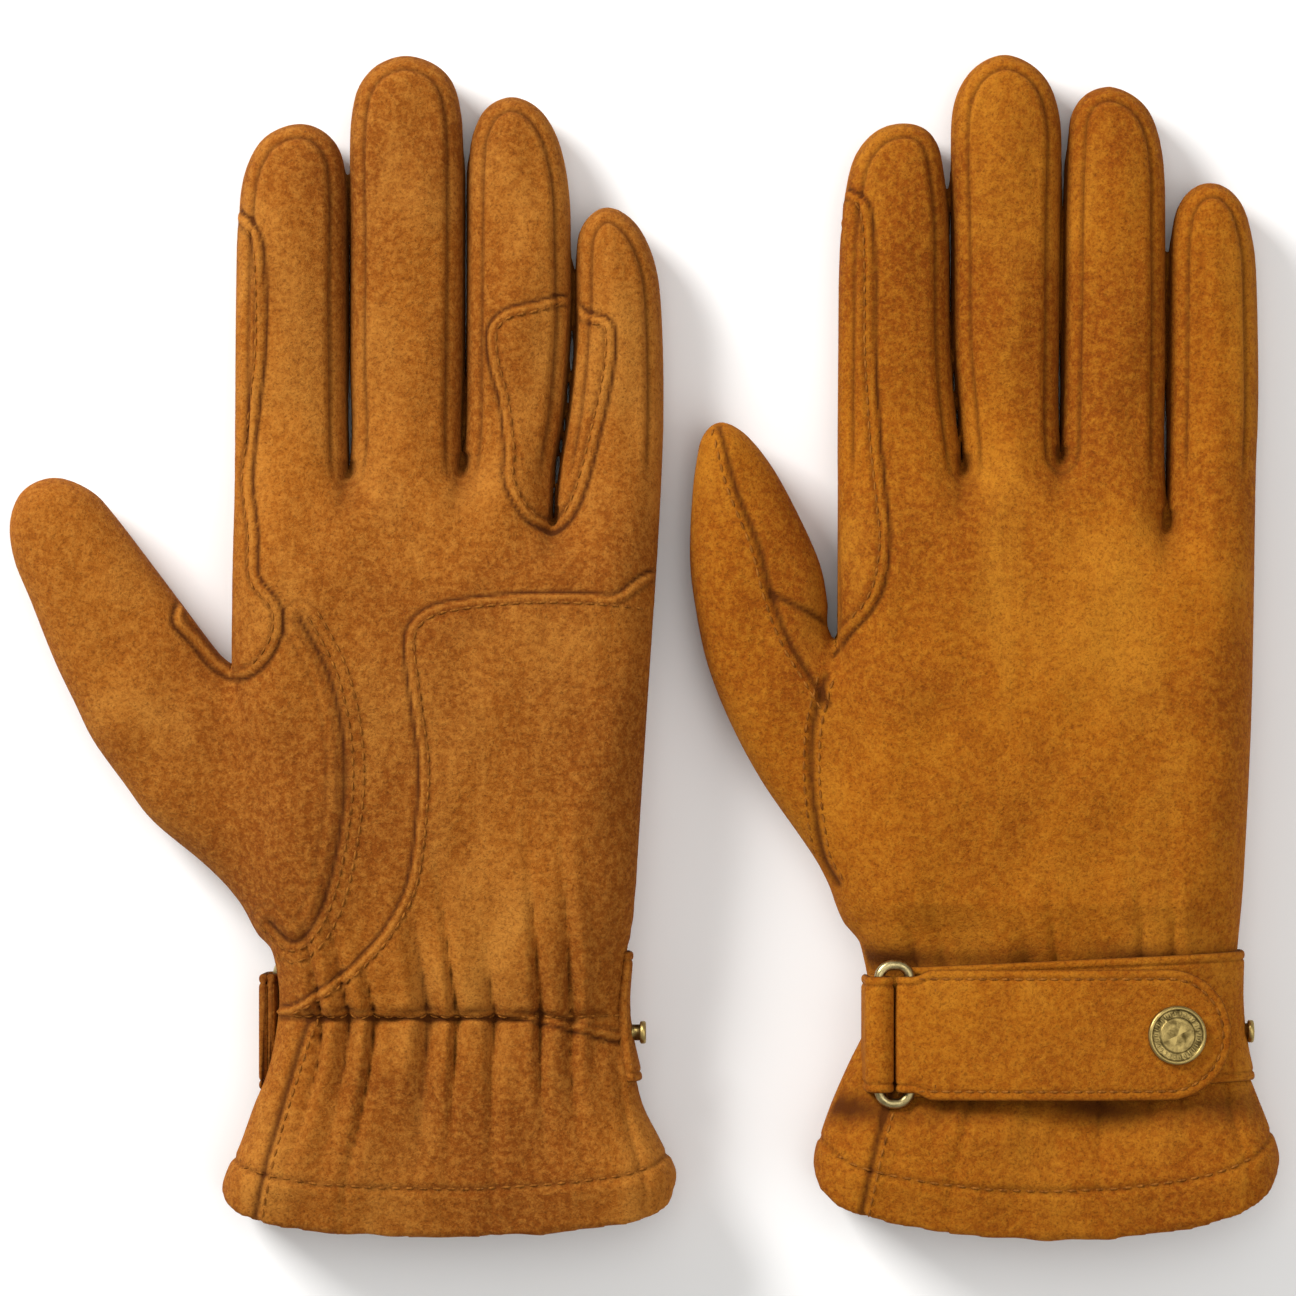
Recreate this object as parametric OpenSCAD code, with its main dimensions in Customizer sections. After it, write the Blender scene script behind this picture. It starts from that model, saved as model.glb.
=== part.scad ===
// A pair of lined suede driving gloves lying flat side by side.
// The left glove lies palm up and the right glove lies palm down.
// Fingers point along +Y, +Z is up and the gloves rest on z = 0.

/* [Hand] */
// Length of the cuff, from the hem to the gathered wrist line
cuff_len = 48.5; // [40:0.5:60]
// Length of the hand, from the wrist line to the knuckle line
hand_len = 112; // [95:1:135]
// Width across the flared hem
cuff_w = 98; // [86:1:116]
// Width at the gathered wrist
wrist_w = 78; // [68:1:90]
// Width across the knuckles
palm_w = 91; // [82:1:110]
// Thickness of the hand as it lies
hand_t = 29; // [24:1:36]
// Thickness of the wrist under the strap
wrist_t = 20; // [17:1:26]
// How far the back of the wrist lies below the back of the hand
wrist_sink = 6.5; // [6.4:0.1:8]

/* [Fingers] */
// Length of the longest finger beyond the knuckle line
middle_len = 87; // [70:1:105]
// Thickness of a finger as it lies
finger_t = 18.5; // [15:0.5:22]
// Space between two neighbouring fingers
finger_gap = 0.8; // [0.6:0.1:1.5]
// Length of the thumb from its hinge to its tip
thumb_tip_len = 38; // [30:1:46]
// How far a finger curls towards the palm, in degrees
curl = 60; // [40:5:60]

/* [Leather] */
// Thickness of the outer suede
suede_t = 1.3; // [1:0.1:1.7]
// Thickness of the sewn reinforcements
patch_t = 1.1; // [0.8:0.1:1.4]
// Thickness of the lining
lining_t = 0.8; // [0.6:0.1:1.1]
// Thickness of one run of the strap
strap_t = 1.6; // [1.3:0.1:1.9]

/* [Strap] */
// Width of the strap
strap_w = 27.5; // [22:0.5:33]
// Length of the free end from the ring to its round tip
tab_len = 68; // [60:1:74]
// Radius of the arc that the free end is bent to
tab_bend_r = 190; // [160:5:240]
// Diameter of the ring's wire
wire_d = 2.2; // [1.8:0.1:2.6]
// Radius of the ring's corners, at the middle of its wire
ring_corner = 2; // [1.6:0.1:2.4]

/* [Snap] */
// Diameter of the snap's cap
cap_d = 12.5; // [10:0.5:14]
// Thickness of the snap's cap
cap_t = 1.3; // [1:0.1:1.5]
// Diameter of a stud's head
stud_d = 4.8; // [4:0.1:5.6]
// Thickness of a stud's head
stud_t = 1.3; // [1:0.1:1.6]
// Distance from the free end's tip to the middle of the snap
snap_inset = 12; // [10:0.5:16]
// Space between moving pieces
clearance = 0.35; // [0.3:0.05:0.5]

/* [Placing] */
// Distance between the centre lines of the two gloves
pair_pitch = 127.5; // [120:0.5:150]

/* [Hidden] */
$fn = 48;
SIDES = ["left", "right"];
FINGERS = ["index", "middle", "ring", "little"];
PIECES = [
    "back_panel", "palm_panel", "heel_patch", "side_panel", "lining", "wrist_elastic", "hem_band",
    "thumb_base", "thumb_tip", "strap_base", "ring_loop", "strap_studs", "strap_ring", "strap_tab",
    "snap_cap", "snap_socket"
];
FINGER_PIECES = ["back", "palm", "sides"];

// Lengths along the glove
y_hem = -(cuff_len + hand_len + middle_len) / 2;
y_wrist = y_hem + cuff_len;
y_knuckle = y_wrist + hand_len;
y_strap = y_wrist - 6;

// Sideways place of each glove, set so that the pair is centred
thumb_reach = 90.9;
x_pair_mid = (cuff_w / 2 - thumb_reach) / 2;
function glove_x(s) = (s == "left" ? -pair_pitch / 2 : pair_pitch / 2) - x_pair_mid;

// +1 where the palm faces up, and -1 where it faces down
function palm_z(s) = s == "left" ? 1 : -1;

HAND_COLS = 32;
FINGER_COLS = 16;
THUMB_COLS = 16;
ROUND = 0.78;
PINHOLE = 0.3;
THUMB_ROWS = [6, 8];
THUMB_COLUMNS = [14, 20];
SUEDE = [0.72, 0.45, 0.15];
SUEDE_DARK = [0.62, 0.36, 0.11];
BRASS = [0.55, 0.45, 0.25];
STEEL = [0.75, 0.73, 0.66];
CLOTH = [0.78, 0.66, 0.48];
ELASTIC = [0.9, 0.88, 0.82];

function mix(a, b, t) = a + (b - a) * t;
function squircle(c) = sign(c) * pow(abs(c), ROUND);

// One ring of points round a tube. A ring is [centre, half width, half height, direction, lean, smile].
// off grows the ring outwards, lean slopes its end plane on the palm side and smile draws its sides forward.
function ring_point(ring, angle, off, floor_z) =
    let (
        c = ring[0], d = ring[3],
        wide = max(PINHOLE, ring[1] + off) * squircle(cos(angle)),
        high = max(PINHOLE, ring[2] + off) * squircle(sin(angle)),
        along = ring[4][0] * max(0, ring[4][1] * high) + ring[5] * pow(cos(angle), 2)
    )
    [
        c[0] + d[1] * wide + d[0] * along,
        c[1] - d[0] * wide + d[1] * along,
        max(floor_z - off, c[2] + high)
    ];

function grid(rings, cols, off, floor_z) =
    [for (r = rings) [for (j = [0:cols - 1]) ring_point(r, 360 * j / cols, off, floor_z)]];

// A sewn sheet between two grids of points. cells[i][j] says whether the cell from row i and column j is in it.
module sheet(outer, inner, cells) {
    rows = len(outer);
    cols = len(outer[0]);
    function at(i, j) = i * cols + (j % cols);
    function has(i, j) = i >= 0 && i < rows - 1 && cells[i][(j + cols) % cols];
    function quad(a, b, c, d) = [[a, b, c], [a, c, d]];
    n = rows * cols;
    points = [for (g = [outer, inner]) for (row = g) for (p = row) p];
    faces = [
        for (i = [0:rows - 2]) for (j = [0:cols - 1]) if (has(i, j))
            let (a = at(i, j), b = at(i, j + 1), c = at(i + 1, j + 1), d = at(i + 1, j))
            for (f = concat(
                quad(a, b, c, d),
                quad(n + a, n + d, n + c, n + b),
                has(i - 1, j) ? [] : quad(a, n + a, n + b, b),
                has(i + 1, j) ? [] : quad(d, c, n + c, n + d),
                has(i, j - 1) ? [] : quad(d, n + d, n + a, a),
                has(i, j + 1) ? [] : quad(c, b, n + b, n + c)
            )) f
    ];
    polyhedron(points, faces);
}

function cells(rows, cols, test) = [for (i = [0:rows - 2]) [for (j = [0:cols - 1]) test(i, j)]];

// The hand, from the hem to the knuckles: [place along the glove, width, sideways shift, low, high, smile].
// Low and high are measured from the back of the glove towards its palm. A row with a low below zero is
// pressed flat where it rests, and the rows in WRIST_ROWS share one section, so that the strap lies straight.
press = 1.2;
WRIST_ROWS = [3, 5];
wrist_top = wrist_sink + wrist_t;
function hand_profile() = [
    [y_hem, cuff_w - 5, 0, 1.5, hand_t - 2, 7],
    [y_hem + 0.19 * cuff_len, cuff_w, 0, -press, hand_t, 2],
    [mix(y_hem, y_strap - strap_w / 2, 0.6), mix(cuff_w, wrist_w, 0.35), 0, 1, hand_t - 1.5, 0],
    [y_strap - strap_w / 2, wrist_w, 0, wrist_sink, wrist_top, 0],
    [y_strap, wrist_w, 0, wrist_sink, wrist_top, 0],
    [y_strap + strap_w / 2, wrist_w, 0, wrist_sink, wrist_top, 0],
    [y_wrist + 0.2 * hand_len, mix(wrist_w, palm_w, 0.4), 0, -press / 2, hand_t - 1, 0],
    [y_wrist + 0.37 * hand_len, mix(wrist_w, palm_w, 0.7), 0, -press, hand_t, 0],
    [y_wrist + 0.58 * hand_len, mix(wrist_w, palm_w, 0.9), 0, -press, hand_t, 0],
    [y_wrist + 0.8 * hand_len, palm_w, 0, -press, mix(hand_t, finger_t, 0.45), 0],
    [y_knuckle, palm_w, 0, -press / 2, finger_t + 1.5, 0]
];

// The rows that rest on the table do so whichever way up the glove lies, and only the wrist is turned over
function is_wrist(i) = i >= WRIST_ROWS[0] && i <= WRIST_ROWS[1];
function low_z(s, i) =
    let (p = hand_profile()[i]) palm_z(s) < 0 && is_wrist(i) ? hand_t - p[4] : p[3];
function high_z(s, i) =
    let (p = hand_profile()[i]) palm_z(s) < 0 && is_wrist(i) ? hand_t - p[3] : p[4];

// The palm side lies on its reinforcement
function hand_floor(s) = palm_z(s) > 0 ? 0 : patch_t;

hinge_lean = tan(curl / 2);
hinge_z = finger_t / 2;

function hand_rings(s) = [
    for (i = [0:len(hand_profile()) - 1])
        let (p = hand_profile()[i], last = i == len(hand_profile()) - 1)
        [
            [glove_x(s) + p[2], p[0] - (last ? clearance : 0), (low_z(s, i) + high_z(s, i)) / 2],
            p[1] / 2, (high_z(s, i) - low_z(s, i)) / 2, [0, 1],
            [last ? -hinge_lean : 0, palm_z(s)], p[5]
        ]
];

module hand_sheet(s, from, to, test) {
    rings = hand_rings(s);
    sheet(grid(rings, HAND_COLS, to, hand_floor(s)), grid(rings, HAND_COLS, from, hand_floor(s)),
        cells(len(rings), HAND_COLS, test));
}

// Columns run anticlockwise as seen from the fingers' end: 0 is the little finger's side, 8 is up.
// Steps are counted from the little finger's side over the palm, on either glove.
function palm_step(s, j) = palm_z(s) > 0 ? j : HAND_COLS - 1 - j;
function palm_col(s, j) = palm_step(s, j) < HAND_COLS / 2;
function thumb_shift(s) = palm_z(s) > 0 ? -2 : 0;
function in_thumb_hole(s, i, j) =
    i >= THUMB_ROWS[0] && i < THUMB_ROWS[1]
    && j >= THUMB_COLUMNS[0] + thumb_shift(s) && j < THUMB_COLUMNS[1] + thumb_shift(s);

module back_panel(s) {
    color(SUEDE) hand_sheet(s, -suede_t, 0,
        function(i, j) !palm_col(s, j) && !in_thumb_hole(s, i, j));
}

module palm_panel(s) {
    color(SUEDE_DARK) hand_sheet(s, -suede_t, 0,
        function(i, j) palm_col(s, j) && !in_thumb_hole(s, i, j));
}

// Overlaid panel at the little finger's side of the palm
module heel_patch(s) {
    color(SUEDE) hand_sheet(s, 0, patch_t,
        function(i, j) i >= WRIST_ROWS[1] && i <= 8 && palm_step(s, j) >= 1 && palm_step(s, j) < 9);
}

// Overlaid panel at the forefinger's side, above the thumb
module side_panel(s) {
    color(SUEDE) hand_sheet(s, 0, patch_t,
        function(i, j) i == (palm_z(s) > 0 ? 8 : 9) && palm_step(s, j) >= 14 && palm_step(s, j) <= 17);
}

module lining(s) {
    color(CLOTH) hand_sheet(s, -suede_t - lining_t, -suede_t,
        function(i, j) i >= 1 && i < 9 && !in_thumb_hole(s, i, j));
}

module wrist_elastic(s) {
    color(ELASTIC) hand_sheet(s, -suede_t - 2 * lining_t, -suede_t - lining_t,
        function(i, j) i == 4 && palm_step(s, j) >= 2 && palm_step(s, j) < 14);
}

module hem_band(s) {
    color(SUEDE_DARK) hand_sheet(s, -2 * suede_t, -suede_t, function(i, j) i == 0);
}

// Finger: [sideways place at the knuckle, at the tip, length as a share of the middle finger,
// width at the knuckle, width near the tip]. The places and widths are shares of the palm's width.
FINGER_TABLE = [
    [-0.378, -0.372, 0.857, 0.262, 0.252],
    [-0.105, -0.105, 1, 0.254, 0.272],
    [0.136, 0.155, 0.93, 0.212, 0.232],
    [0.368, 0.39, 0.675, 0.232, 0.208]
];
TIP_START = 0.8;

function finger_rings(s, k, wall) =
    let (
        f = FINGER_TABLE[k],
        y0 = y_knuckle + clearance,
        length = f[2] * middle_len - clearance
    )
    [
        for (t = [0, 0.4, TIP_START, 0.9, 0.965, 1])
            let (
                near = t > TIP_START ? sqrt(max(0.01, 1 - pow((t - TIP_START) / (1 - TIP_START), 2))) : 1,
                w = (mix(f[3], f[4], min(1, t * 1.4)) * palm_w - finger_gap) * near,
                h = finger_t * (1 - 0.06 * t) * mix(1, near, 0.85)
            )
            [
                [glove_x(s) + mix(f[0], f[1], t) * palm_w, y0 + t * (length - wall), h / 2],
                w / 2, h / 2, [0, 1], [t == 0 ? hinge_lean : 0, palm_z(s)], 0
            ]
    ];

module finger_sheet(s, k, test) {
    outer = finger_rings(s, k, 0);
    inner = finger_rings(s, k, suede_t);
    sheet(grid(outer, FINGER_COLS, 0, 0), grid(inner, FINGER_COLS, -suede_t, 0),
        cells(len(outer), FINGER_COLS, test));
}

// The strips sewn between neighbouring fingers fill the sides of each finger
function side_col(j) = j == 0 || j == FINGER_COLS - 1 || j == FINGER_COLS / 2 || j == FINGER_COLS / 2 - 1;
function finger_palm_col(s, j) = (palm_z(s) > 0) == (j < FINGER_COLS / 2);

module finger_piece(s, k, piece) {
    if (piece == "back")
        color(SUEDE) finger_sheet(s, k, function(i, j) !side_col(j) && !finger_palm_col(s, j));
    if (piece == "palm")
        color(SUEDE_DARK) finger_sheet(s, k, function(i, j) !side_col(j) && finger_palm_col(s, j));
    if (piece == "sides")
        color(SUEDE) finger_sheet(s, k, function(i, j) side_col(j));
}

// Thumb: a tube from the opening in the side of the hand to the hinge, and a closed tip beyond it.
// The opening's edge is followed from the crotch side, over the top, so that it meets the tube's rings.
THUMB_LOOP = [
    [8, 17], [8, 16], [8, 15], [8, 14], [7, 14], [6, 14], [6, 15], [6, 16],
    [6, 17], [6, 18], [6, 19], [6, 20], [7, 20], [8, 20], [8, 19], [8, 18]
];
thumb_curl = 40;
thumb_lean = tan(thumb_curl / 2);
thumb_root_t = 22;
thumb_hinge_t = 19.4;
thumb_tip_t = 17.5;

// The hinge's distance out from the edge of the palm and back from the knuckle line, the way the thumb
// points and its width. The left thumb lies more spread than the right one.
function thumb_place(s) = s == "left" ? [22.4, 34.75, 119.5, 31] : [17.4, 25.4, 105, 28];
function thumb_dir(s) = [cos(thumb_place(s)[2]), sin(thumb_place(s)[2])];
function thumb_point(s, along) = [
    glove_x(s) - palm_w / 2 - thumb_place(s)[0] + along * thumb_dir(s)[0],
    y_knuckle - thumb_place(s)[1] + along * thumb_dir(s)[1]
];
function thumb_ring(s, along, wide, thick, lean) = [
    [thumb_point(s, along)[0], thumb_point(s, along)[1], thick / 2],
    wide / 2, thick / 2, thumb_dir(s), [lean, palm_z(s)], 0
];
function thumb_base_rings(s) = [
    thumb_ring(s, -15, thumb_place(s)[3] + 1, thumb_root_t, 0),
    thumb_ring(s, -clearance, thumb_place(s)[3], thumb_hinge_t, -thumb_lean)
];
function thumb_tip_rings(s, wall) = [
    for (t = [0, 0.35, 0.62, 0.82, 0.94, 1])
        let (
            near = sqrt(max(0.01, 1 - pow(t, 2.6))),
            thick = mix(thumb_hinge_t, thumb_tip_t, t)
        )
        thumb_ring(s, t * (thumb_tip_len - wall), (thumb_place(s)[3] - 4 * t) * near,
            thick * mix(1, near, 0.85), t == 0 ? thumb_lean : 0)
];
function thumb_opening(s, off) =
    let (g = grid(hand_rings(s), HAND_COLS, off, hand_floor(s)))
    [for (e = THUMB_LOOP) g[e[0]][e[1] + thumb_shift(s)]];

module thumb_base(s) {
    outer = concat([thumb_opening(s, 0)], grid(thumb_base_rings(s), THUMB_COLS, 0, 0));
    inner = concat([thumb_opening(s, -suede_t)], grid(thumb_base_rings(s), THUMB_COLS, -suede_t, 0));
    color(SUEDE_DARK) sheet(outer, inner, cells(len(outer), THUMB_COLS, function(i, j) true));
}

module thumb_tip(s) {
    outer = grid(thumb_tip_rings(s, 0), THUMB_COLS, 0, 0);
    inner = grid(thumb_tip_rings(s, suede_t), THUMB_COLS, -suede_t, 0);
    color(SUEDE) sheet(outer, inner, cells(len(outer), THUMB_COLS, function(i, j) true));
}

// Strap hardware, drawn on the back of a glove that lies palm down. A glove that lies palm up has it below.
wire_r = wire_d / 2;
fold_r = wire_r + clearance;
fold_out = fold_r + strap_t;
ring_pitch = 2 * fold_out + clearance;
fold_w = strap_w - 3;
wrist_mid = hand_t - wrist_sink - wrist_t / 2;

// Height of the back of the wrist over its middle, at a distance x from the glove's centre line
function wrist_rise(x, off) =
    let (c = pow(min(1, abs(x) / (wrist_w / 2 + off)), 1 / ROUND))
    (wrist_t / 2 + off) * pow(1 - c * c, ROUND / 2);

// The free end folds round the ring's outer bar, and the loop on the thumb's side holds its inner bar
tab_bar_x = -wrist_w / 2 + 9.4;
loop_bar_x = tab_bar_x - ring_pitch;
bar_z = wrist_mid + wrist_rise(tab_bar_x, 0) + clearance + fold_out + 0.2;
SPRING = 60;
BASE_STEP = 21;

// The free end is an arc that starts at its bar and comes down on the snap
socket_t = stud_t + 0.5;
snap_s = tab_len - snap_inset;
snap_reach = tab_bend_r * sin(snap_s / tab_bend_r * 180 / PI);
snap_x = tab_bar_x + snap_s - 1;
snap_z = wrist_mid + wrist_rise(snap_x, strap_t) + 2 * clearance + socket_t;
snap_rise = snap_z - bar_z - fold_r;
tab_tilt = atan2(snap_rise, snap_x - tab_bar_x)
    + asin(norm([snap_rise, snap_x - tab_bar_x]) / (2 * (tab_bend_r)));

module on_back(s) {
    translate([glove_x(s), y_strap, palm_z(s) > 0 ? hand_t : 0])
        mirror([0, 0, palm_z(s) > 0 ? 1 : 0]) children();
}

module bar(length, r) {
    rotate([90, 0, 0]) cylinder(r = r, h = length, center = true);
}

// Part of a leather fold round a bar, between two angles from +X towards +Z
module fold(width, from, to) {
    rotate([90, 0, 0]) translate([0, 0, -width / 2]) rotate([0, 0, from])
        rotate_extrude(angle = to - from) translate([fold_r, 0]) square([strap_t, width]);
}

module strap_ring(s) {
    straight = fold_w + 2 * clearance;
    color(STEEL) on_back(s) translate([(tab_bar_x + loop_bar_x) / 2, 0, bar_z]) {
        for (x = [-1, 1]) translate([x * ring_pitch / 2, 0, 0]) bar(straight, wire_r);
        for (y = [-1, 1])
            translate([0, y * (straight / 2 + ring_corner), 0])
                rotate([0, 90, 0]) cylinder(r = wire_r, h = ring_pitch - 2 * ring_corner, center = true);
        for (x = [0, 1], y = [0, 1])
            mirror([x, 0, 0]) mirror([0, y, 0])
                translate([ring_pitch / 2 - ring_corner, straight / 2, 0])
                    rotate_extrude(angle = 90) translate([ring_corner, 0]) circle(wire_r);
    }
}

// The loop comes round the side of the wrist, folds round the ring's inner bar and is sewn down. Its two legs
// leave the fold where a straight line from the seam would touch it, so that they clear the bar.
module ring_loop(s) {
    root_angle = 168.75;
    root_r = 0.4 * strap_t;
    fold_mid = fold_r + strap_t / 2;
    root = [
        (wrist_w / 2 + strap_t / 2) * squircle(cos(root_angle)),
        wrist_mid + (wrist_t / 2 + strap_t / 2) * squircle(sin(root_angle))
    ];
    leg = root - [loop_bar_x, bar_z];
    leg_angle = 360 + atan2(leg[1], leg[0]);
    touch = acos(fold_mid / norm(leg));
    color(SUEDE) {
        hand_sheet(s, 0, strap_t, function(i, j)
            (i == 3 || i == 4) && palm_step(s, j) >= 15 && palm_step(s, j) <= 16);
        on_back(s) {
            translate([loop_bar_x, 0, bar_z]) fold(fold_w, leg_angle + touch, leg_angle + 360 - touch);
            for (side = [-1, 1]) hull() {
                translate([
                    loop_bar_x + fold_mid * cos(leg_angle + side * touch), 0,
                    bar_z + fold_mid * sin(leg_angle + side * touch)
                ]) bar(fold_w, strap_t / 2);
                translate([root[0], 0, root[1]]) bar(fold_w, root_r);
            }
        }
    }
}

// The free end's own frame: its start at the bar, with the arc bending down from there
module on_tab(s, along) {
    on_back(s) translate([tab_bar_x, 0, bar_z]) rotate([0, -tab_tilt, 0])
        translate([0, 0, fold_r - tab_bend_r])
            rotate([0, along / tab_bend_r * 180 / PI, 0]) translate([0, 0, tab_bend_r]) children();
}

module tab_outline() {
    neck = wire_r + 2 * clearance;
    translate([-0.01, -fold_w / 2]) square([tab_len / 2, fold_w]);
    hull() {
        translate([neck + 1, -strap_w / 2 + 1]) circle(1);
        translate([neck + 1, strap_w / 2 - 1]) circle(1);
        translate([tab_len - strap_w / 2, 0]) circle(strap_w / 2);
    }
}

shank_r = 1.5;
module strap_tab(s) {
    color(SUEDE_DARK) difference() {
        on_back(s) translate([tab_bar_x, 0, bar_z]) rotate([0, -tab_tilt, 0]) {
            fold(fold_w, 90, 90 + SPRING);
            intersection() {
                translate([0, 0, fold_r - tab_bend_r]) difference() {
                    bar(strap_w + 2, tab_bend_r + strap_t);
                    bar(strap_w + 4, tab_bend_r);
                }
                translate([0, 0, -tab_len / 2]) linear_extrude(tab_len) tab_outline();
            }
        }
        on_tab(s, snap_s) translate([0, 0, -2]) cylinder(r = shank_r, h = strap_t + 4);
    }
}

module snap_cap(s) {
    rim = 1.1;
    color(BRASS) on_tab(s, snap_s) {
        translate([0, 0, strap_t]) difference() {
            union() {
                cylinder(d = cap_d, h = cap_t - 0.4);
                translate([0, 0, cap_t - 0.4]) cylinder(d1 = cap_d, d2 = cap_d - 0.8, h = 0.4);
            }
            translate([0, 0, cap_t - 0.3]) cylinder(d = cap_d - 2 * rim, h = 1);
        }
        cylinder(r = shank_r, h = strap_t);
    }
}

// The socket hangs under the free end and takes the stud's head
socket_r = stud_d / 2 + clearance + 1.2;
module snap_socket(s) {
    sag = pow(socket_r, 2) / (2 * tab_bend_r);
    color(STEEL) on_tab(s, snap_s) translate([0, 0, -sag - socket_t]) difference() {
        cylinder(r = socket_r, h = socket_t);
        translate([0, 0, -1]) cylinder(r = stud_d / 2 + clearance, h = socket_t - 0.35 + 1);
    }
}

// A stud: a head on a neck that goes down into the strap
module stud(neck, grow) {
    translate([0, 0, -neck]) cylinder(r = stud_d / 2 - 0.7 + grow, h = neck);
    cylinder(d1 = stud_d - 0.6, d2 = stud_d, h = 0.3);
    translate([0, 0, 0.3]) cylinder(d = stud_d, h = stud_t - 0.6);
    translate([0, 0, stud_t - 0.3]) cylinder(d1 = stud_d, d2 = stud_d - 1, h = 0.3);
}

module stud_places(s) {
    on_tab(s, snap_s) translate([0, 0, -socket_t - clearance]) stud(2 * clearance + 1.1, 0);
    on_back(s) translate([wrist_w / 2 + strap_t + 0.4, 0, wrist_mid]) rotate([0, 90, 0]) stud(1.4, 0);
}

// The strap that is sewn across the back of the wrist and into the side seam
module strap_base(s) {
    color(SUEDE_DARK) difference() {
        hand_sheet(s, 0, strap_t, function(i, j)
            (i == 3 || i == 4) && (palm_step(s, j) >= BASE_STEP || palm_step(s, j) == 0));
        stud_places(s);
    }
}

module strap_studs(s) {
    color(STEEL) stud_places(s);
}

back_panel("left");  // left_back_panel
palm_panel("left");  // left_palm_panel
heel_patch("left");  // left_heel_patch
side_panel("left");  // left_side_panel
lining("left");  // left_lining
wrist_elastic("left");  // left_wrist_elastic
hem_band("left");  // left_hem_band
thumb_base("left");  // left_thumb_base
thumb_tip("left");  // left_thumb_tip
strap_base("left");  // left_strap_base
ring_loop("left");  // left_ring_loop
strap_studs("left");  // left_strap_studs
strap_ring("left");  // left_strap_ring
strap_tab("left");  // left_strap_tab
snap_cap("left");  // left_snap_cap
snap_socket("left");  // left_snap_socket
finger_piece("left", 0, "back");  // left_index_back
finger_piece("left", 0, "palm");  // left_index_palm
finger_piece("left", 0, "sides");  // left_index_sides
finger_piece("left", 1, "back");  // left_middle_back
finger_piece("left", 1, "palm");  // left_middle_palm
finger_piece("left", 1, "sides");  // left_middle_sides
finger_piece("left", 2, "back");  // left_ring_back
finger_piece("left", 2, "palm");  // left_ring_palm
finger_piece("left", 2, "sides");  // left_ring_sides
finger_piece("left", 3, "back");  // left_little_back
finger_piece("left", 3, "palm");  // left_little_palm
finger_piece("left", 3, "sides");  // left_little_sides
back_panel("right");  // right_back_panel
palm_panel("right");  // right_palm_panel
heel_patch("right");  // right_heel_patch
side_panel("right");  // right_side_panel
lining("right");  // right_lining
wrist_elastic("right");  // right_wrist_elastic
hem_band("right");  // right_hem_band
thumb_base("right");  // right_thumb_base
thumb_tip("right");  // right_thumb_tip
strap_base("right");  // right_strap_base
ring_loop("right");  // right_ring_loop
strap_studs("right");  // right_strap_studs
strap_ring("right");  // right_strap_ring
strap_tab("right");  // right_strap_tab
snap_cap("right");  // right_snap_cap
snap_socket("right");  // right_snap_socket
finger_piece("right", 0, "back");  // right_index_back
finger_piece("right", 0, "palm");  // right_index_palm
finger_piece("right", 0, "sides");  // right_index_sides
finger_piece("right", 1, "back");  // right_middle_back
finger_piece("right", 1, "palm");  // right_middle_palm
finger_piece("right", 1, "sides");  // right_middle_sides
finger_piece("right", 2, "back");  // right_ring_back
finger_piece("right", 2, "palm");  // right_ring_palm
finger_piece("right", 2, "sides");  // right_ring_sides
finger_piece("right", 3, "back");  // right_little_back
finger_piece("right", 3, "palm");  // right_little_palm
finger_piece("right", 3, "sides");  // right_little_sides
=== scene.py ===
"""Looks of a pair of lined suede driving gloves, lying flat: the left one palm up, the right one palm down.

Lengths in the tables are in millimetres, in the row frame. Each glove is one closed skin, grown from its
flat outline, then cut into the panels that it is sewn from.
"""

import math

import bpy
import numpy as np
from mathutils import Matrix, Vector
from mathutils.bvhtree import BVHTree


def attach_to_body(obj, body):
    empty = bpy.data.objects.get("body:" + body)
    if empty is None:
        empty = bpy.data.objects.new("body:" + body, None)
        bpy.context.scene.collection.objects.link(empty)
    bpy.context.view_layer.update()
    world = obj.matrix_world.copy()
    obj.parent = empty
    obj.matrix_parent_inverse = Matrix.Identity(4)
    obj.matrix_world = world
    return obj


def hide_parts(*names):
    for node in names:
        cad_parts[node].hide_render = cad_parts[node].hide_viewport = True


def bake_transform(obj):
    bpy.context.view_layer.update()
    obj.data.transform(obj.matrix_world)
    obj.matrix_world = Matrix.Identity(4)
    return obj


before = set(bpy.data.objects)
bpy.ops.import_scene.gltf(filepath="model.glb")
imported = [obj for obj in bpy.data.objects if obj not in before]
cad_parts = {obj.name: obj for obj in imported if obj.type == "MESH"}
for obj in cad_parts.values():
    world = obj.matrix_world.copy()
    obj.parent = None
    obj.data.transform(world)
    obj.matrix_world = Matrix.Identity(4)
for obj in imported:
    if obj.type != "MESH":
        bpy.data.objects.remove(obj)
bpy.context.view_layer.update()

MM = 0.001
# The grid that the skin is grown on
CELL_XY = 0.75
CELL_Z = 0.95
# Beyond this y the skin is cut into the fingers' pieces
BEND_START = 38.0
FINGERS = ("index", "middle", "ring", "little")

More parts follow.
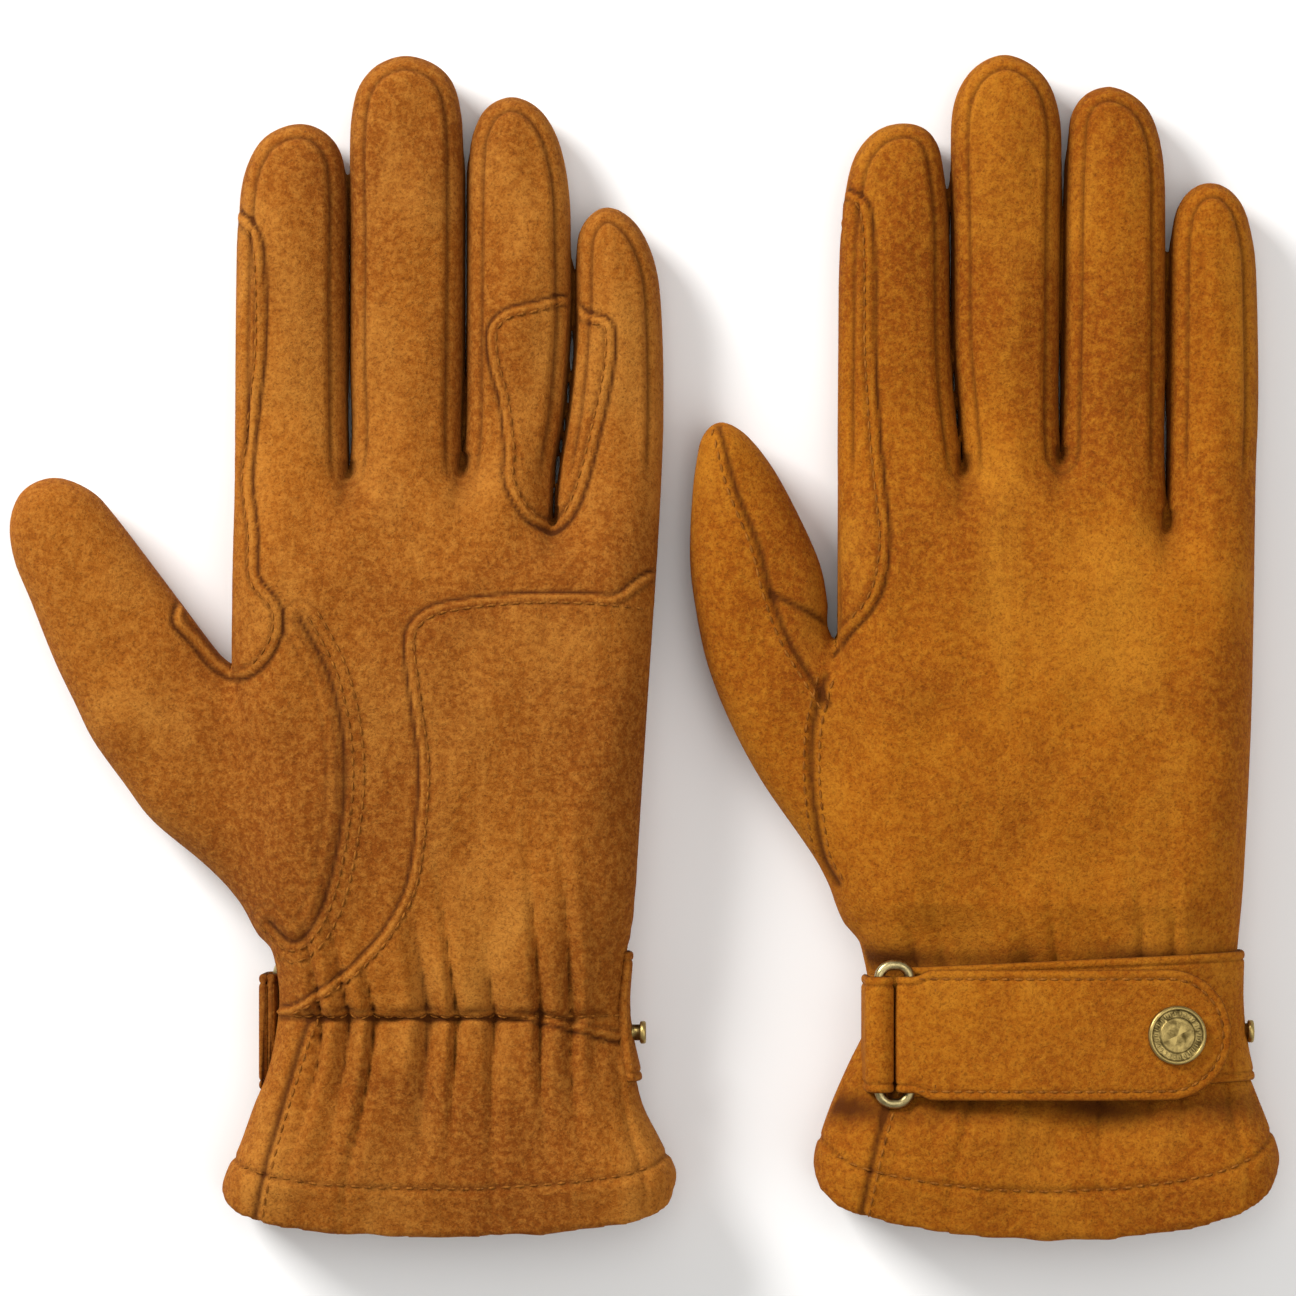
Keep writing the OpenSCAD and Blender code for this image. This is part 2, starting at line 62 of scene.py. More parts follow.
# Each glove: its outline, the parting lines between its fingers, its thumb's outline and height, and how far
# up its thumb melts into the hand
LEFT = {
    "name": "left",
    "palm_up": True,
    "hand": [
        (-84, -121.5), (-90, -118), (-89.9, -113.5), (-86.4, -105), (-83.5, -97), (-80, -88), (-78, -75),
        (-79, -66), (-81.5, -58), (-84.5, -42), (-86.2, -30), (-87.8, -10), (-87.9, 10), (-87.5, 37),
        (-87.4, 60), (-87, 85), (-86.4, 98), (-83.6, 106), (-79.6, 109.9), (-74, 111.5), (-69, 109.9),
        (-65.4, 105.5), (-64.2, 98), (-64.1, 85), (-64.1, 60), (-63.9, 46), (-63.4, 37),
        (-62.8, 46), (-63.2, 60), (-63.2, 85), (-63.4, 106), (-62.9, 114), (-61.4, 119.6), (-57.6, 124),
        (-51.6, 126), (-45.4, 124.2), (-41.5, 120.2), (-39.8, 114), (-39.3, 106), (-39.2, 85), (-39.4, 60),
        (-39.6, 46), (-39.3, 38),
        (-38.7, 46), (-38.5, 60), (-38.3, 85), (-38, 104), (-36.6, 111), (-33.8, 115.3), (-28.9, 117.2),
        (-23.8, 115.2), (-20.2, 110.6), (-17.9, 104), (-16.6, 95), (-16.4, 85), (-16.4, 70), (-17.9, 50),
        (-19.8, 38),
        (-20.1, 27), (-18.9, 38), (-17, 50), (-15.5, 65), (-15.3, 79), (-14.8, 87.6), (-12, 92.2),
        (-8.4, 93.7), (-4.2, 91.8), (-0.6, 87.2), (2.1, 79), (3.1, 66), (3.3, 50), (2.9, 37), (2, 20),
        (1, 5), (0, -10),
        (-1.3, -30), (-3, -55), (-5, -66), (-6, -76), (-4.6, -84), (-3, -89), (-1, -97), (3, -105), (6, -112),
        (5.4, -117),
        (1, -120.8), (-10, -123), (-30, -124.6), (-50, -124.6), (-70, -123.6),
    ],
    "slits": [
        ([37, 60, 112], [-63.4, -63.9, -63.8]),
        ([38, 60, 116], [-39.2, -38.9, -38.6]),
        ([27, 38, 50, 68, 95], [-20.1, -19.35, -17.45, -15.95, -15.6]),
    ],
    "thumb": [
        (-86, -4), (-90.3, -2), (-99.9, 10.5), (-112.8, 27.5), (-118.5, 33.5), (-126, 36.2), (-132.6, 33.5),
        (-135.4, 27), (-134.6, 19), (-131, 10), (-126, -2.6), (-121.5, -12), (-117.7, -19.7), (-111, -29),
        (-105, -36.8), (-94, -46), (-86, -54), (-80, -60), (-72, -50), (-70, -28), (-75, -8),
    ],
    "thumb_height": (0.0, 20.5),
    "web_y": -6.0,
}
RIGHT = {
    "name": "right",
    "palm_up": False,
    "hand": [
        (51.8, -121.2), (42, -118.5), (36.5, -114), (35.3, -109.6), (36, -105), (38.7, -97), (42.6, -88),
        (46.5, -80), (47.3, -75), (45.8, -66), (43.2, -56), (41.8, -50), (40.8, -30), (40.2, -10), (40.2, 10),
        (40.4, 37), (40.6, 60), (41, 85), (42, 97), (44.2, 105), (48.6, 110), (54, 111.6), (58.6, 110.6),
        (61.6, 107), (63, 100), (63.9, 88), (64.2, 65), (65.3, 50), (66.9, 38),
        (66.2, 50), (65, 65), (64.8, 88), (64.4, 106), (64.9, 115), (67.2, 120.8), (71, 124.6), (76, 126.2),
        (81.2, 124.3), (84.9, 120.6), (87, 115.5), (87.9, 108), (87.6, 92), (87.4, 70), (87.2, 52),
        (87.5, 40.5),
        (88, 52), (88.4, 70), (88.6, 90), (89.3, 108), (90.4, 114.3), (93.4, 118), (98, 119.4), (103, 117.6),
        (106.6, 114), (108.8, 108), (109.8, 100), (109.9, 88), (109.9, 60), (109.6, 42), (109.8, 26),
        (110.5, 42), (110.8, 58), (110.9, 74), (111.3, 87), (112.6, 93.6), (115.6, 97.6), (119.5, 98.9),
        (123.4, 97.5), (126.6, 93.5), (128.4, 87), (129.2, 80), (129.6, 65), (129.6, 50), (129, 37),
        (128.4, 15),
        (127.8, -10), (127, -30), (126, -50), (124.9, -64), (124.4, -75), (125.8, -86), (128.4, -93),
        (131.5, -101), (133.4, -107), (133.3, -111), (131, -115.5), (126, -119), (116, -122), (100, -124.3),
        (84, -125.2), (68, -124.2),
    ],
    "slits": [
        ([38, 50, 65, 88, 112], [66.9, 65.75, 64.6, 64.35, 63.4]),
        ([40, 52, 70, 92, 116], [87.5, 87.6, 87.9, 88.1, 88.7]),
        ([26, 42, 60, 98], [109.8, 110.05, 110.35, 110.8]),
    ],
    "thumb": [
        (39.3, 2), (38.1, 10), (36.2, 18.8), (30.2, 31.7), (25.3, 40), (20, 46), (15, 48), (11.6, 45),
        (10.2, 39), (9.3, 31), (8.9, 19), (10, 9), (12.5, -3), (17.1, -15), (24, -28), (33, -41),
        (39, -50), (44, -58), (54, -50), (58, -30), (52, -8),
    ],
    "thumb_height": (0.0, 20.0),
    "web_y": 1.0,
}


def smooth_loop(points, step, closed=True):
    """A Catmull-Rom curve through the points, cut into pieces of about one length."""
    p = np.array(points, float)
    n = len(p)
    out = []
    spans = n if closed else n - 1
    for i in range(spans):
        if closed:
            a, b, c, d = p[(i - 1) % n], p[i], p[(i + 1) % n], p[(i + 2) % n]
        else:
            a, b, c, d = p[max(i - 1, 0)], p[i], p[i + 1], p[min(i + 2, n - 1)]
        count = max(1, int(round(np.linalg.norm(c - b) / step)))
        t = np.arange(count)[:, None] / count
        bend = (2 * a - 5 * b + 4 * c - d) * t**2 + (3 * b - a - 3 * c + d) * t**3
        out.append(0.5 * (2 * b + (c - a) * t + bend))
    if not closed:
        out.append(p[-1:])
    return np.concatenate(out)


def distance_to_path(xy, path, closed):
    """Distance from each point to a polyline, and the length along it of the nearest place."""
    a = path if closed else path[:-1]
    b = np.roll(path, -1, axis=0) if closed else path[1:]
    ab = b - a
    length = np.linalg.norm(ab, axis=1)
    start = np.concatenate([[0], np.cumsum(length)[:-1]])
    best = np.full(len(xy), 1e9)
    along = np.zeros(len(xy))
    for i in range(len(a)):
        near = np.abs(xy - (a[i] + b[i]) / 2).max(axis=1) < best + length[i]
        if not near.any():
            continue
        q = xy[near] - a[i]
        t = np.clip(q @ ab[i] / max(length[i] ** 2, 1e-12), 0, 1)
        d = np.hypot(*(q - t[:, None] * ab[i]).T)
        where = np.flatnonzero(near)
        closer = d < best[where]
        best[where[closer]] = d[closer]
        along[where[closer]] = start[i] + t[closer] * length[i]
    return best, along


def inside(xy, loop):
    """True where a point is inside a closed polyline."""
    result = np.zeros(len(xy), bool)
    a, b = loop, np.roll(loop, -1, axis=0)
    for (x0, y0), (x1, y1) in zip(a, b):
        if y0 == y1:
            continue
        crosses = (xy[:, 1] >= min(y0, y1)) & (xy[:, 1] < max(y0, y1))
        x = x0 + (xy[:, 1] - y0) * (x1 - x0) / (y1 - y0)
        result ^= crosses & (xy[:, 0] < x)
    return result


def depth_field(xy, loop):
    """Distance in from a closed outline, below zero outside it."""
    d, _ = distance_to_path(xy, loop, True)
    return np.where(inside(xy, loop), d, -d)


def profile(y, table):
    """A value along the glove, from (y, value) pairs."""
    ys, values = zip(*table)
    return np.interp(y, ys, values)


# Heights of the skin's lower and upper side along the glove, by whether its palm is up
LOW = {
    True: [(-125, 0.6), (-113, 0), (-103, 0.5), (-95, 4), (-88, 6.3), (-72, 6.3), (-64, 4), (-52, 0.6),
           (-40, 0)],
    False: [(-125, 0.4), (-113, 0), (-98, 1.2), (-88, 2.6), (-72, 2.6), (-60, 1), (-45, 0)],
}
HIGH = {
    True: [(-125, 22.5), (-113, 25.5), (-100, 25.2), (-88, 25), (-78, 23.6), (-68, 25.6), (-50, 27.6),
           (-12, 28.6), (15, 26.4), (36, 21.4), (50, 18.9), (85, 18), (126, 15.5)],
    False: [(-125, 23.5), (-112, 26), (-103, 25), (-95, 22.6), (-88, 22), (-72, 22), (-66, 23), (-54, 26.6),
            (-30, 28.4), (-8, 28.4), (15, 26), (36, 20.8), (50, 18.6), (85, 18), (126, 15.5)],
}
# How far in from the outline the skin's rounded edge reaches
ROUNDING = [(-125, 11), (-108, 13), (-96, 18), (-88, 20), (-72, 20), (-60, 16), (-30, 13), (36, 11.5),
            (126, 10.8)]
# The cuff's edge, as (x, y) from one side to the other
HEM = {
    "left": [(-93, -108), (-90.3, -114), (-88.9, -117), (-86, -119.2), (-80.6, -120.9), (-70, -122.7),
             (-55, -123.7), (-38, -123.9), (-22, -123), (-12, -121.9), (-5, -120.9), (1, -119.2),
             (4.4, -117), (5.6, -113), (8, -106)],
    "right": [(34, -104), (35.2, -110), (36.4, -113.8), (39.8, -117), (44, -119.2), (50.4, -120.9),
              (60, -122.6), (72, -124), (84, -124.4), (98, -123.8), (110, -122.4),
              (117.7, -120.9), (123, -119.2),
              (127.9, -117), (131, -114.2), (133, -110.5), (135, -104)],
}
WALL = 2.0
# Beyond this y the skin is solid, as the fingers' insides aren't seen
CAVITY_END = 30.0
THUMB_ROUNDING = 11.0
CUFF_END = -113.6
CUFF_FLARE = -95


def wave(x, y, seeds, size):
    """A smooth, repeatable unevenness, a sum of a few slanted waves."""
    total = np.zeros(np.shape(x))
    for k, seed in enumerate(seeds):
        a = seed * 2.399
        length = size * (1 + 0.37 * k)
        total += np.sin((x * math.cos(a) + y * math.sin(a)) * 2 * math.pi / length + seed * 5.1)
    return total / len(seeds)


def skin_field(glove):
    """The glove as a 3-D field, below zero in the leather, with the flat depths that later steps read."""
    palm_up = glove["palm_up"]
    hand = smooth_loop(glove["hand"], 2.0)
    low, high = hand.min(axis=0), hand.max(axis=0)
    thumb = smooth_loop(glove["thumb"], 2.0)
    low = np.minimum(low, thumb.min(axis=0)) - 3
    high = np.maximum(high, thumb.max(axis=0)) + 3
    xs = np.arange(low[0], high[0], CELL_XY)
    ys = np.arange(-129, high[1], CELL_XY)
    zs = np.arange(-2.0, 33, CELL_Z)
    gx, gy = np.meshgrid(xs, ys, indexing="ij")
    xy = np.stack([gx.ravel(), gy.ravel()], axis=1)
    # The outline runs on past the hem, so that the cuff stays open
    cuff = [p for p in glove["hand"] if p[1] > CUFF_END]
    flare = [x for x, y in cuff if y < CUFF_FLARE]
    left_x, right_x = min(flare), max(flare)
    tail = [
        (right_x, -122), (right_x - 2, -140), (right_x - 10, -150),
        (left_x + 10, -150), (left_x + 2, -140), (left_x, -122),
    ]
    right_half = [i for i, p in enumerate(cuff) if p[0] > 0.5 * (left_x + right_x)]
    last = min(right_half, key=lambda i: cuff[i][1])
    loop = smooth_loop(cuff[: last + 1] + tail + cuff[last + 1:], 2.0)
    depth = depth_field(xy, loop).reshape(gx.shape)
    depth_thumb = depth_field(xy, thumb).reshape(gx.shape)
    rounding = profile(gy, ROUNDING)
    base, top = profile(gy, LOW[palm_up]), profile(gy, HIGH[palm_up])
    top = top + 0.5 * wave(gx, gy, (1, 2, 3, 4), 46)
    hem = profile(gx, HEM[glove["name"]]) - gy

    def pillow(depth, rounding, base, top, z):
        mid, half = (base + top) / 2, (top - base) / 2
        side = (1 - np.minimum(depth / rounding, 1)) ** 2
        up = np.abs((z - mid) / half)
        power = np.where(z < mid, 3.0, 2.3)
        return (side + up**power - 1) * 6

    z = zs[None, None, :]
    # Low down, neighbouring fingers touch
    touch = np.zeros(gx.shape)
    for ys_slit, slit in glove["slits"]:
        away = np.abs(gx - np.interp(gy, ys_slit, slit))
        tip = ys_slit[-1] - 10
        along = smoothstep(tip + 3, tip - 5, gy) * (gy > ys_slit[0] - 1)
        touch = np.maximum(touch, smoothstep(3, 1.4, away) * along)
    closer = 0.66 * touch[..., None] * smoothstep(8.5, 5.0, z)
    field = pillow(depth[..., None] + closer, rounding[..., None], base[..., None], top[..., None], z)
    cavity = np.maximum(field + WALL, (gy - CAVITY_END)[..., None])
    thumb_low, thumb_high = (np.full(gx.shape, h)[..., None] for h in glove["thumb_height"])
    thumb_field = pillow(depth_thumb[..., None], THUMB_ROUNDING, thumb_low, thumb_high, z)
    reach = np.clip((glove["web_y"] - gy) / 10, 0.0, 1)[..., None] * 7 + 1e-3
    mix = np.clip(0.5 + 0.5 * (thumb_field - field) / reach, 0, 1)
    skin = thumb_field * (1 - mix) + field * mix - reach * mix * (1 - mix)
    # Below zero where the thumb is nearer than the hand
    which = thumb_field - field
    solid = np.maximum(np.maximum(skin, hem[..., None]), -cavity)
    return {
        "axes": (xs, ys, zs), "solid": solid, "depth": depth, "depth_thumb": depth_thumb,
        "which": which, "cavity": cavity,
    }


CORNERS = [(i, j, k) for i in (0, 1) for j in (0, 1) for k in (0, 1)]


def surface_nets(field, axes):
    """Vertices and quads of the field's zero surface, one vertex in each cell that it crosses."""
    nx, ny, nz = (n - 1 for n in field.shape)
    negative = field < 0
    count = np.zeros((nx, ny, nz), np.int8)
    for i, j, k in CORNERS:
        count += negative[i: i + nx, j: j + ny, k: k + nz]
    cells = np.argwhere((count > 0) & (count < 8))
    index = np.full((nx, ny, nz), -1, np.int32)
    index[tuple(cells.T)] = np.arange(len(cells))
    total = np.zeros((len(cells), 3))
    hits = np.zeros(len(cells))
    for a in CORNERS:
        for axis in range(3):
            if a[axis]:
                continue
            b = list(a)
            b[axis] = 1
            fa = field[tuple((cells + a).T)]
            fb = field[tuple((cells + b).T)]
            crossed = (fa < 0) != (fb < 0)
            t = np.where(crossed, fa / np.where(crossed, fa - fb, 1), 0)
            place = np.array(a) + t[:, None] * (np.array(b) - np.array(a))
            total += place * crossed[:, None]
            hits += crossed
    place = cells + total / hits[:, None]
    verts = np.stack([np.interp(place[:, m], np.arange(len(axes[m])), axes[m]) for m in range(3)], axis=1)
    quads = []
    for axis in range(3):
        u, v = (axis + 1) % 3, (axis + 2) % 3
        step = [0, 0, 0]
        step[axis] = 1
        a = negative[: nx + 1 - step[0], : ny + 1 - step[1], : nz + 1 - step[2]]
        b = negative[step[0]:, step[1]:, step[2]:]
        at = np.argwhere(a != b)
        at = at[(at[:, u] > 0) & (at[:, v] > 0)]
        at = at[(at < [nx, ny, nz]).all(axis=1)]
        eu, ev = np.zeros(3, int), np.zeros(3, int)
        eu[u], ev[v] = 1, 1
        ring = [index[tuple((at - d).T)] for d in (0 * eu, eu, eu + ev, ev)]
        q = np.stack(ring, axis=1)
        out = a[tuple(at.T)]
        q[~out] = q[~out][:, ::-1]
        quads.append(q[(q >= 0).all(axis=1)])
    return verts, np.concatenate(quads)


def sample(grid, axes, xy):
    """A flat grid's value at each point."""
    fx = np.interp(xy[:, 0], axes[0], np.arange(len(axes[0])))
    fy = np.interp(xy[:, 1], axes[1], np.arange(len(axes[1])))
    i = np.minimum(fx.astype(int), grid.shape[0] - 2)
    j = np.minimum(fy.astype(int), grid.shape[1] - 2)
    u, v = fx - i, fy - j
    return (
        grid[i, j] * (1 - u) * (1 - v) + grid[i + 1, j] * u * (1 - v)
        + grid[i, j + 1] * (1 - u) * v + grid[i + 1, j + 1] * u * v
    )


def sample3(grid, axes, p):
    """A 3-D grid's value at each point, from the nearest place."""
    at = []
    for m in range(3):
        nearest = np.rint(np.interp(p[:, m], axes[m], np.arange(len(axes[m])))).astype(int)
        at.append(np.clip(nearest, 0, grid.shape[m] - 1))
    return grid[tuple(at)]


def vertex_normals(verts, quads):
    d1 = verts[quads[:, 2]] - verts[quads[:, 0]]
    d2 = verts[quads[:, 3]] - verts[quads[:, 1]]
    face = np.cross(d1, d2)
    normals = np.zeros_like(verts)
    for m in range(4):
        np.add.at(normals, quads[:, m], face)
    return normals / np.maximum(np.linalg.norm(normals, axis=1), 1e-12)[:, None]


def relax(verts, quads, rounds):
    """Evens out the steps that the grid leaves, without shrinking, by going out and back in turn."""
    edges = np.concatenate([quads[:, [0, 1]], quads[:, [1, 2]], quads[:, [2, 3]], quads[:, [3, 0]]])
    edges = np.concatenate([edges, edges[:, ::-1]])
    degree = np.bincount(edges[:, 0], minlength=len(verts))[:, None]
    for step in (0.5, -0.52) * rounds:
        ends = verts[edges[:, 1]]
        sums = [np.bincount(edges[:, 0], weights=ends[:, m], minlength=len(verts)) for m in range(3)]
        verts = verts + step * (np.stack(sums, axis=1) / np.maximum(degree, 1) - verts)
    return verts


PAIR_SHIFT = 127.5

# Paths on the palm are in the left glove's place, and paths on the back are in the right glove's place
THUMB_ARC = [
    (-73, 6), (-67.2, -5), (-64.4, -16), (-63.6, -26.5), (-64.4, -37), (-67, -50), (-70.6, -58.4), (-75, -62),
    (-80, -58),
]
HEEL_EDGE = [
    (6, 9), (-8, 10.6), (-19.5, 11.2), (-30, 10.8), (-39.2, 9.8), (-45.8, 8.2), (-49.6, 5), (-50.6, 0),
    (-49, -13), (-47.6, -25), (-48.4, -39), (-50.3, -50), (-55, -59), (-61.8, -66.8), (-69, -72), (-76, -76),
]
HEEL = HEEL_EDGE + [(-90, -77.3), (-60, -77.4), (-30, -77.4), (14, -77.3)]
SIDE_EDGE_PALM = [
    (-92, 95), (-86.9, 92.4), (-82.4, 87), (-81.3, 77), (-81.3, 63), (-82.2, 54), (-83.5, 42), (-84, 34.5),
    (-82.6, 24), (-82.2, 15), (-78.4, 10), (-77, 6), (-78, 1), (-81.5, -4), (-86.5, -6.2),
    (-91.5, -4), (-96, 1.3), (-100, 6),
]
SIDE_PALM = SIDE_EDGE_PALM + [(-97, 12), (-92.5, 3), (-91.5, 20), (-93, 60)]
CROTCH_PATCH = [
    (-18, 26), (-22, 25.6), (-26.3, 28.4), (-29.8, 35), (-29.8, 42), (-31, 52), (-33, 60), (-33.4, 67),
    (-30.4, 70.8), (-24, 72.6), (-17.2, 74), (-13, 70.6), (-9, 69.4), (-7.4, 66.5), (-8, 58), (-10.6, 45.5),
    (-14.2, 32),
]
SIDE_EDGE_BACK = [
    (37, 99.5), (41.5, 97.2), (45.6, 94.6), (47, 89.5), (47.4, 77), (47.4, 64), (48.4, 45), (49.6, 32),
    (50.3, 23), (49.2, 14), (46.7, 8.4), (42.8, 4), (38.5, -1.5),
]
SIDE_BACK = SIDE_EDGE_BACK + [(37, -2), (39.3, 3), (39, 20), (38, 60)]
THUMB_BACK = [(13, 50), (15.2, 46.5), (18.2, 34.7), (23.2, 22), (26, 11.3), (29.5, 2), (34.2, -6), (38, -12)]
THUMB_QUIRK = [(26, 11.3), (32, 8.6), (40, 4.2)]
THUMB_DOUBLE = [(37.5, -6), (35, -15.6), (34.4, -24), (34.8, -32), (36.8, -44), (40, -50)]
CUFF_SEAM = [(-70.6, -77), (-72.8, -82.4), (-77.5, -97.4), (-80.3, -107.6), (-82.8, -119.8)]
ELASTIC_Y = -77.5
HEM_STITCH = 10.2
FINGER_SEAM = 3.1
HEM_BAND = 11
ELASTIC_HALF = 7
WRIST_HALF = 38.2
GATHER_PITCH = 7.9
GATHER_HEIGHT = 3.9
GATHER_SHADE = 2.6
ON_THUMB = -0.6


def shifted(path, glove, home):
    """A path moved to this glove from the one that it is given for."""
    dx = 0 if glove["name"] == home else (PAIR_SHIFT if home == "left" else -PAIR_SHIFT)
    return [(x + dx, y) for x, y in path]


def smoothstep(a, b, x):
    t = np.clip((x - a) / (b - a), 0, 1)
    return t * t * (3 - 2 * t)


def groove(distance, width):
    return np.exp(-((distance / width) ** 2))


def line_distance(xy, path):
    return distance_to_path(xy, smooth_loop(path, 1.5, closed=False), False)[0]


def finger_of(glove, xy):
    """Which finger each place beyond the knuckles belongs to, from the little lines between them."""
    number = np.zeros(len(xy), int)
    for ys, slit in glove["slits"]:
        number += xy[:, 0] > np.interp(xy[:, 1], ys, slit)
    return number


def shape_skin(glove, verts, normals, data):
    """Moves the plain skin to show seams, sewn-on pieces, gathers and creases.

    offset is how far each place moves out, in mm. The colour marks paint shade into grooves, creases, turning
    edges and beside the strap below zero, and above zero paint highlight on fold crests and pale worn cut
    edges.
    """
    xy, z = verts[:, :2], verts[:, 2]
    x, y = xy.T
    up = smoothstep(0.05, 0.45, normals[:, 2])
    down = smoothstep(0.05, 0.45, -normals[:, 2])
    palm, back = (up, down) if glove["palm_up"] else (down, up)
    depth = sample(data["depth"], data["axes"], xy)
    depth_thumb = sample(data["depth_thumb"], data["axes"], xy)
    which = sample3(data["which"], data["axes"], verts)
    inner = sample3(data["cavity"], data["axes"], verts) < 0.9
    hem_gap = y - profile(x, HEM[glove["name"]])
    inner &= (y < CAVITY_END + 2) & (hem_gap > 1.2)
    on_thumb = which < ON_THUMB
    offset = np.zeros(len(verts))
    painted_shading_and_wear = np.zeros(len(verts))
    # Finger seams run just in from the outline, on both faces
    beyond = smoothstep(33, 43, y) * ~on_thumb * (up + down)
    offset -= 0.55 * groove(depth - FINGER_SEAM, 0.6) * beyond
    offset += 0.22 * groove(depth - FINGER_SEAM - 1.5, 1.1) * beyond
    # Painted shade: a dark line in the seam's groove, and darker leather along the fingers' turning edges
    painted_shading_and_wear -= 0.6 * groove(depth - FINGER_SEAM, 0.45) * beyond
    painted_shading_and_wear -= 0.3 * smoothstep(1.6, 0.2, depth) * beyond
    for ys_slit, slit in glove["slits"]:
        away = x - np.interp(y, ys_slit, slit)
        below = ys_slit[0] - y
        spread = 1.1 + 0.12 * np.maximum(below, 0)
        fade = smoothstep(15, 2, below) * (below > -3)
        offset -= 0.7 * groove(away + 0.1 * below, spread) * fade * (up + down)
        # Painted shade in the creases between the fingers
        painted_shading_and_wear -= 0.3 * groove(away + 0.1 * below, 2 * spread) * fade

    # Sewn-on pieces: a step, a pale worn cut edge, painted shade just outside the edge where the step drops,
    # and a sunk line of stitches just inside it with painted shade along it
    def piece(path, home, face, height, room):
        d = depth_field(xy, smooth_loop(shifted(path, glove, home), 1.5))
        here = face * room
        step = height * smoothstep(-0.45, 0.45, d) - 0.3 * groove(d - 1.6, 0.6) - 0.2 * groove(d + 0.7, 0.5)
        # Pale worn cut edge, with painted shade below the step and along the stitch groove
        pale_edge_and_shade = 0.55 * groove(d - 0.35, 0.4) - 0.9 * groove(d + 0.55, 0.5) - 0.5 * groove(d - 1.6, 0.45)
        return step * here, pale_edge_and_shade * here, (d > 0) & (here > 0.5)

    off_thumb = (~on_thumb).astype(float)
    heel = piece(HEEL, "left", palm, 0.9, off_thumb)
    side_palm = piece(SIDE_PALM, "left", palm, 0.8, (y > -9).astype(float))
    crotch = piece(CROTCH_PATCH, "left", palm, 0.7, smoothstep(0.3, 1.6, depth))
    side_back = piece(SIDE_BACK, "right", back, 0.8, off_thumb)
    for step, pale_edge_and_shade, _ in (heel, side_palm, crotch, side_back):
        offset += step
        painted_shading_and_wear += pale_edge_and_shade
    arc = line_distance(xy, shifted(THUMB_ARC, glove, "left"))
    offset -= 0.7 * groove(arc, 0.8) * palm
    # Painted shade along the thumb's seam groove and along its two stitch rows
    painted_shading_and_wear -= (0.9 * groove(arc, 0.6) + 0.35 * groove(arc - 1.7, 0.5) + 0.3 * groove(arc - 4.0, 0.5)) * palm
    for path, depth_mm in ((THUMB_BACK, 0.7), (THUMB_QUIRK, 0.5), (THUMB_DOUBLE, 0.6)):
        near = groove(line_distance(xy, shifted(path, glove, "right")), 0.75) * back
        offset -= depth_mm * near
        # Painted shade in the thumb's seam grooves on the back
        painted_shading_and_wear -= 0.8 * near
    cuff = groove(line_distance(xy, shifted(CUFF_SEAM, glove, "left")), 0.7) * (palm + back)
    offset -= 0.6 * cuff
    # Painted shade in the cuff's seam groove
    painted_shading_and_wear -= 0.8 * cuff

    # Elastic draws the wrist in and gathers the leather into rounded folds with sharp valleys between them
    middle_x = profile(y, [(-125, -42), (-78, -39.5), (-40, -44)]) + (0 if glove["palm_up"] else PAIR_SHIFT)
    widths = [(-124, 48), (-112, 47), (-100, 42.3), (-88, 39), (-78, WRIST_HALF), (-60, 40.5), (-30, 43)]
    half = profile(y, widths)
    across = (x - middle_x) / half * WRIST_HALF
    turn = across + 1.7 * np.sin(across * 0.29 + 0.4) + 0.9 * np.sin(across * 0.71 + 1.0)
    ridge = np.abs(np.sin(math.pi * turn / GATHER_PITCH)) ** 0.75 - 0.55
    dy = y - ELASTIC_Y
    vary = 0.5 + 0.5 * np.sin(across * 0.37 + 2.0) * np.sin(across * 0.13 + 0.5)
    reach = np.where(dy > 0, 8 + 15 * vary + 7 * smoothstep(0, 34, across), 13 + 15 * (1 - vary))
    near = np.exp(-((np.abs(dy) / reach) ** 1.6))
    strength = np.where(palm > back, 1.0, 0.5) * near * smoothstep(1.0, 6.0, depth) * off_thumb
    line = groove(dy - 0.5 * np.sin(across * 0.5), 1.2)
    offset += strength * (GATHER_HEIGHT * ridge * (1 - 0.35 * line) - 0.9 * line)
    # Painted shade in the fold valleys and along the elastic's line, and painted highlight on the fold crests
    painted_shading_and_wear += strength * (GATHER_SHADE * np.minimum(ridge + 0.22, 0) + 0.3 * np.maximum(ridge, 0) - 0.35 * line)
    # The strap presses the back of the wrist in, and the leather swells on both sides of it
    strap_y = y - STRAP_Y
    pressed = back * smoothstep(17.5, 13.5, np.abs(strap_y))
    offset -= 0.5 * pressed
    # Painted shadow beside both edges of the strap
    strap_shadow_band = back * groove(np.abs(strap_y) - 15.5, 3.4)
    painted_shading_and_wear -= (0.55 + 0.35 * wave(x, y, (11, 12), 17)) * strap_shadow_band
    pucker = groove(np.abs(strap_y) - 20, 7) * back * smoothstep(4, 14, depth)
    offset += 2.0 * wave(across, 0.35 * y, (2, 7, 9), 19) * pucker

    # Hem: turned edge with a line of stitching, and painted shade along the stitching's groove
    offset -= 0.35 * groove(hem_gap - HEM_STITCH, 0.7)
    offset += 0.25 * smoothstep(HEM_STITCH, HEM_STITCH - 2.5, hem_gap)
    painted_shading_and_wear -= 0.45 * groove(hem_gap - HEM_STITCH, 0.55)
